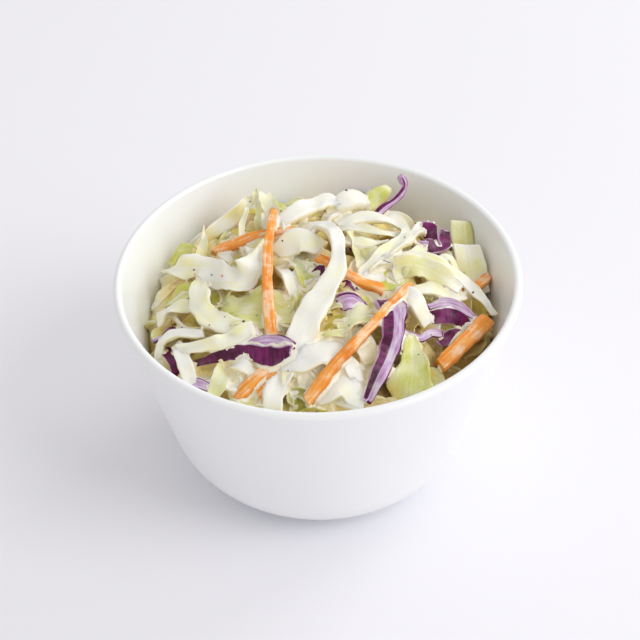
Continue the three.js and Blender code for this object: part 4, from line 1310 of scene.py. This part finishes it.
class ColeslawFoodSettings(bpy.types.PropertyGroup):
    """The food's amounts and colours."""

    scrap_count: bpy.props.IntProperty(
        name="Scraps", description="Number of fine scraps between the shreds", min=0, max=600, default=280)
    scrap_seed: bpy.props.IntProperty(
        name="Scrap seed", description="Seed of the scraps' places", min=0, default=11)
    dressing_reach: bpy.props.FloatProperty(
        name="Dressing reach", description="Radius of the gaps that the dressing fills", unit="LENGTH",
        min=0.0003, max=0.003, default=0.0005)
    rib_white: colour("Rib white", "Colour of the cabbage ribs", 243, 242, 233)
    leaf_pale: colour("Pale leaf", "Colour of the inner leaves", 238, 236, 174)
    leaf_green: colour("Green leaf", "Colour of the outer leaves", 202, 206, 80)
    # Painted shadow: the dark olive given to leaves that lie in shade, past a greenness of 1.
    leaf_shadow_green: colour("Deep leaf", "Colour of the outermost leaves", 138, 138, 50)
    # Painted light: the glow on the cabbage's sides, and the two olives of painted shade in its crevices.
    painted_glow: colour("Glow", "Colour that the cabbage takes where it doesn't face up", 255, 236, 156)
    shade_olive: colour("Shade olive", "Colour that the cabbage takes in shallow crevices", 242, 214, 112)
    deep_shade_olive: colour("Deep olive", "Colour that the cabbage takes deep in the heap", 166, 128, 48)
    # The dark skin is also the painted shade in the red cabbage's crevices.
    dark_skin_and_shade: colour("Dark skin", "Darker colour of the red cabbage's skin", 70, 0, 46)
    skin_bright: colour("Bright skin", "Brighter colour of the red cabbage's skin", 128, 24, 102)
    flesh_lilac: colour("Lilac flesh", "Colour of the red cabbage where it is cut", 180, 124, 178)
    flesh_pale: colour("Pale flesh", "Paler colour of the red cabbage where it is cut", 220, 204, 226)
    carrot: colour("Carrot", "Colour of the carrot", 241, 140, 32)
    carrot_pale: colour("Pale carrot", "Colour of the carrot's fibres", 252, 178, 84)
    # The deep carrot is also painted shade, and the washed carrot is partly a painted highlight.
    carrot_deep_and_shade: colour("Deep carrot", "Colour of the carrot's darker patches", 192, 86, 8)
    carrot_wash_and_highlight: colour("Washed carrot", "Colour of the carrot under the dressing", 255, 226, 194)
    cream: colour("Cream", "Colour of the dressing", 237, 236, 230)
    # The warm cream is also the painted glow on the dressing's sides.
    warm_cream_and_glow: colour("Warm cream", "Colour of the dressing in patches and on its sides", 247, 237, 204)
    pepper: colour("Pepper", "Colour of the ground pepper", 84, 60, 40)
    pepper_pale: colour("Pale pepper", "Colour of the grains' paler flecks", 120, 92, 66)
    chilli: colour("Chilli", "Colour of the orange grains", 226, 140, 76)


class ColeslawStageSettings(bpy.types.PropertyGroup):
    """Floor and light."""

    floor: colour("Floor", "Colour of the paper sweep", 240, 239, 244)
    floor_shade: colour("Floor shade", "Colour that the sweep drifts to", 236, 235, 240)
    sky: colour("Room light", "Colour of the light from all round", 252, 251, 250)
    sky_strength: bpy.props.FloatProperty(
        name="Room light strength", description="Strength of the light from all round", min=0, default=0.72)
    lamp_colour: colour("Lamp colour", "Colour of the two soft lights", 250, 250, 251)
    key_power: bpy.props.FloatProperty(
        name="Key power", description="Power of the soft light at the right front", subtype="POWER",
        min=0, default=12.3)
    back_power: bpy.props.FloatProperty(
        name="Back power", description="Power of the lower soft light at the right back", subtype="POWER",
        min=0, default=8.6)


class ColeslawOperator:
    """What the operators share: each is listed in the history and can be undone."""

    bl_options = {"REGISTER", "UNDO"}


class COLESLAW_OT_bowl(ColeslawOperator, bpy.types.Operator):
    """Makes the glazed bowl"""

    bl_idname = "coleslaw.bowl"
    bl_label = "Bowl"

    def execute(self, context):
        settings = context.scene.coleslaw_bowl
        make_piece("bowl_glazed", bowl_surface(), glaze_finish(settings), "bowl")
        return {"FINISHED"}


class COLESLAW_OT_cabbage(ColeslawOperator, bpy.types.Operator):
    """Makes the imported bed, the cabbage ribs and the cabbage leaves"""

    bl_idname = "coleslaw.cabbage"
    bl_label = "White cabbage"

    def execute(self, context):
        settings = context.scene.coleslaw_food
        made = {
            "rib": [shred(row, FORMS["knob" if k in KNOBS else "rib"], k + RIB_FIRST, tone)
                    for k, (row, tone) in enumerate(zip(RIB, RIB_TONE))],
            "leaf": [shred(row, FORMS["square" if k in SQUARES else "leaf"], k + LEAF_FIRST, tone)
                     for k, (row, tone) in enumerate(zip(LEAF, LEAF_TONE))],
        }
        scraps = scrap_rows(settings.scrap_count, settings.scrap_seed)
        for first, rows in ((FILL_FIRST, filling_rows()), (SCRAP_FIRST, scraps)):
            for number, (kind, row, tone) in enumerate(rows, first):
                made[kind].append(shred(row, FORMS[kind], number, tone))
        rib_finish = cabbage_finish("cabbage_rib", settings, vein_share=0.15)
        leaf_finish = cabbage_finish("cabbage_leaf", settings, vein_share=1.0)
        make_piece("slaw_bed", bed_surface(), leaf_finish, "coleslaw")
        make_piece("cabbage_ribs", joined(made["rib"]), rib_finish, "coleslaw")
        make_piece("cabbage_leaves", joined(made["leaf"]), leaf_finish, "coleslaw")
        return {"FINISHED"}


class COLESLAW_OT_red_cabbage(ColeslawOperator, bpy.types.Operator):
    """Makes the strips of red cabbage"""

    bl_idname = "coleslaw.red_cabbage"
    bl_label = "Red cabbage"

    def execute(self, context):
        settings = context.scene.coleslaw_food
        strips = [shred(row, FORMS["red"], number, skin=1)
                  for number, row in enumerate(RED_SKIN, RED_SKIN_FIRST)]
        strips += [shred(row, FORMS["red"], number, skin=share)
                   for number, (row, share) in enumerate(zip(RED_CUT, CUT_SHARE), RED_CUT_FIRST)]
        finish = red_cabbage_finish(settings)
        make_piece("red_cabbage_strips", joined(strips), finish, "coleslaw")
        return {"FINISHED"}


class COLESLAW_OT_carrot(ColeslawOperator, bpy.types.Operator):
    """Makes the carrot sticks"""

    bl_idname = "coleslaw.carrot"
    bl_label = "Carrot"

    def execute(self, context):
        settings = context.scene.coleslaw_food
        sticks = [shred(row, FORMS["carrot"], number) for number, row in enumerate(CARROT, CARROT_FIRST)]
        make_piece("carrot_sticks", joined(sticks), carrot_finish(settings), "coleslaw")
        return {"FINISHED"}


class COLESLAW_OT_dressing(ColeslawOperator, bpy.types.Operator):
    """Makes the dressing where the shreds meet, and tells every piece of food how it lies"""

    bl_idname = "coleslaw.dressing"
    bl_label = "Dressing"

    def execute(self, context):
        settings = context.scene.coleslaw_food
        heights = heap_heights()
        surface = dressing_surface(settings.dressing_reach / MM)
        pools = make_piece("dressing_pools", surface, dressing_finish(settings), "coleslaw")
        for piece in (*(bpy.data.objects[name] for name in FOOD_PIECES), pools):
            lay(piece, heights)
        return {"FINISHED"}


class COLESLAW_OT_specks(ColeslawOperator, bpy.types.Operator):
    """Makes the pepper and chilli grains"""

    bl_idname = "coleslaw.specks"
    bl_label = "Pepper"

    def execute(self, context):
        settings = context.scene.coleslaw_food
        make_piece("pepper_grains", speck_surface(), speck_finish(settings), "coleslaw")
        return {"FINISHED"}


# The lights, in metres, each with its azimuth, 0 at +X and 90 at +Y, and its elevation in degrees.
LAMP_DISTANCE = 1.7
LAMP_SIZE = (0.85, 1.15)
LAMP_AIM = np.array([0.0, 0.0, 0.04])
KEY_FROM = (-25, 38)
BACK_FROM = (40, 24)

# The floor is a disc just under the foot.
FLOOR_RADIUS = 4000
FLOOR_HEIGHT = -0.05
FLOOR_SIDES = 96


def soft_light(name, azimuth, elevation, power, tint):
    """An area light that faces the bowl from an azimuth and an elevation."""
    turn, rise = math.radians(azimuth), math.radians(elevation)
    back = np.array([math.cos(rise) * math.cos(turn), math.cos(rise) * math.sin(turn), math.sin(rise)])
    right = unit(np.cross([0, 0, 1], back))
    lamp = bpy.data.lights.new(name, "AREA")
    lamp.shape = "RECTANGLE"
    lamp.size, lamp.size_y = LAMP_SIZE
    lamp.energy = power
    lamp.color = tint
    return placed(name, lamp, right, np.cross(back, right), back, LAMP_AIM + back * LAMP_DISTANCE)


def placed(name, data, right, up, back, place):
    """A lamp or camera with these axes, at a place in metres."""
    matrix = np.eye(4)
    matrix[:3, :3] = np.stack([right, up, back], axis=-1)
    matrix[:3, 3] = place
    made = bpy.data.objects.new(name, data)
    made.matrix_world = Matrix(matrix.tolist())
    bpy.context.scene.collection.objects.link(made)
    return made


def floor_surface():
    """A flat disc: a fan of triangles from its middle."""
    angle = full_turn(FLOOR_SIDES)
    height = np.full(FLOOR_SIDES, FLOOR_HEIGHT)
    disc = np.stack([FLOOR_RADIUS * np.cos(angle), FLOOR_RADIUS * np.sin(angle), height], axis=-1)
    spot = np.arange(FLOOR_SIDES)
    fan = np.stack([np.full(FLOOR_SIDES, FLOOR_SIDES), spot, (spot + 1) % FLOOR_SIDES], axis=-1)
    return Surface(np.vstack([disc, [0, 0, FLOOR_HEIGHT]]), np.zeros((0, 4), int), fan)


class COLESLAW_OT_stage(ColeslawOperator, bpy.types.Operator):
    """Makes the floor, the lights and the camera"""

    bl_idname = "coleslaw.stage"
    bl_label = "Stage"

    def execute(self, context):
        settings = context.scene.coleslaw_stage
        scene = context.scene
        make_object("paper_floor", floor_surface(), floor_finish(settings))

        world = bpy.data.worlds.new("room_light")
        world.use_nodes = True
        background = world.node_tree.nodes["Background"]
        background.inputs["Color"].default_value = (*settings.sky, 1)
        background.inputs["Strength"].default_value = settings.sky_strength
        scene.world = world
        soft_light("key_light", *KEY_FROM, settings.key_power, settings.lamp_colour)
        soft_light("back_light", *BACK_FROM, settings.back_power, settings.lamp_colour)

        lens = bpy.data.cameras.new("camera")
        lens.lens = CAMERA_LENS
        lens.sensor_width = CAMERA_SENSOR
        lens.clip_start, lens.clip_end = CAMERA_CLIP
        eye, right, up, back = camera_axes()
        scene.camera = placed("camera", lens, right, up, back, eye * MM)
        scene.view_settings.view_transform = "Standard"
        return {"FINISHED"}


OPERATORS = (
    COLESLAW_OT_bowl,
    COLESLAW_OT_cabbage,
    COLESLAW_OT_red_cabbage,
    COLESLAW_OT_carrot,
    COLESLAW_OT_dressing,
    COLESLAW_OT_specks,
    COLESLAW_OT_stage,
)

SETTINGS = {
    "coleslaw_bowl": ColeslawBowlSettings,
    "coleslaw_food": ColeslawFoodSettings,
    "coleslaw_stage": ColeslawStageSettings,
}


class COLESLAW_PT_panel(bpy.types.Panel):
    """The coleslaw's operators and settings"""

    bl_idname = "COLESLAW_PT_panel"
    bl_label = "Coleslaw"
    bl_space_type = "VIEW_3D"
    bl_region_type = "UI"
    bl_category = "Coleslaw"

    def draw(self, context):
        layout = self.layout
        for operator in OPERATORS:
            layout.operator(operator.bl_idname)
        for name in SETTINGS:
            group = getattr(context.scene, name)
            for prop in group.__annotations__:
                layout.prop(group, prop)


CLASSES = (*SETTINGS.values(), *OPERATORS, COLESLAW_PT_panel)


def register():
    """Registers the classes and gives every scene its settings."""
    for item in CLASSES:
        bpy.utils.register_class(item)
    for name, group in SETTINGS.items():
        setattr(bpy.types.Scene, name, bpy.props.PointerProperty(type=group))


def unregister():
    """Takes back what register gave: the settings, then the classes from the last to the first."""
    for name in SETTINGS:
        delattr(bpy.types.Scene, name)
    for item in reversed(CLASSES):
        bpy.utils.unregister_class(item)


def main():
    """Registers the add-on and makes every piece in order."""
    register()
    bpy.ops.coleslaw.bowl()
    bpy.ops.coleslaw.cabbage()
    bpy.ops.coleslaw.red_cabbage()
    bpy.ops.coleslaw.carrot()
    bpy.ops.coleslaw.dressing()
    bpy.ops.coleslaw.specks()
    bpy.ops.coleslaw.stage()


if __name__ == "__main__":
    main()
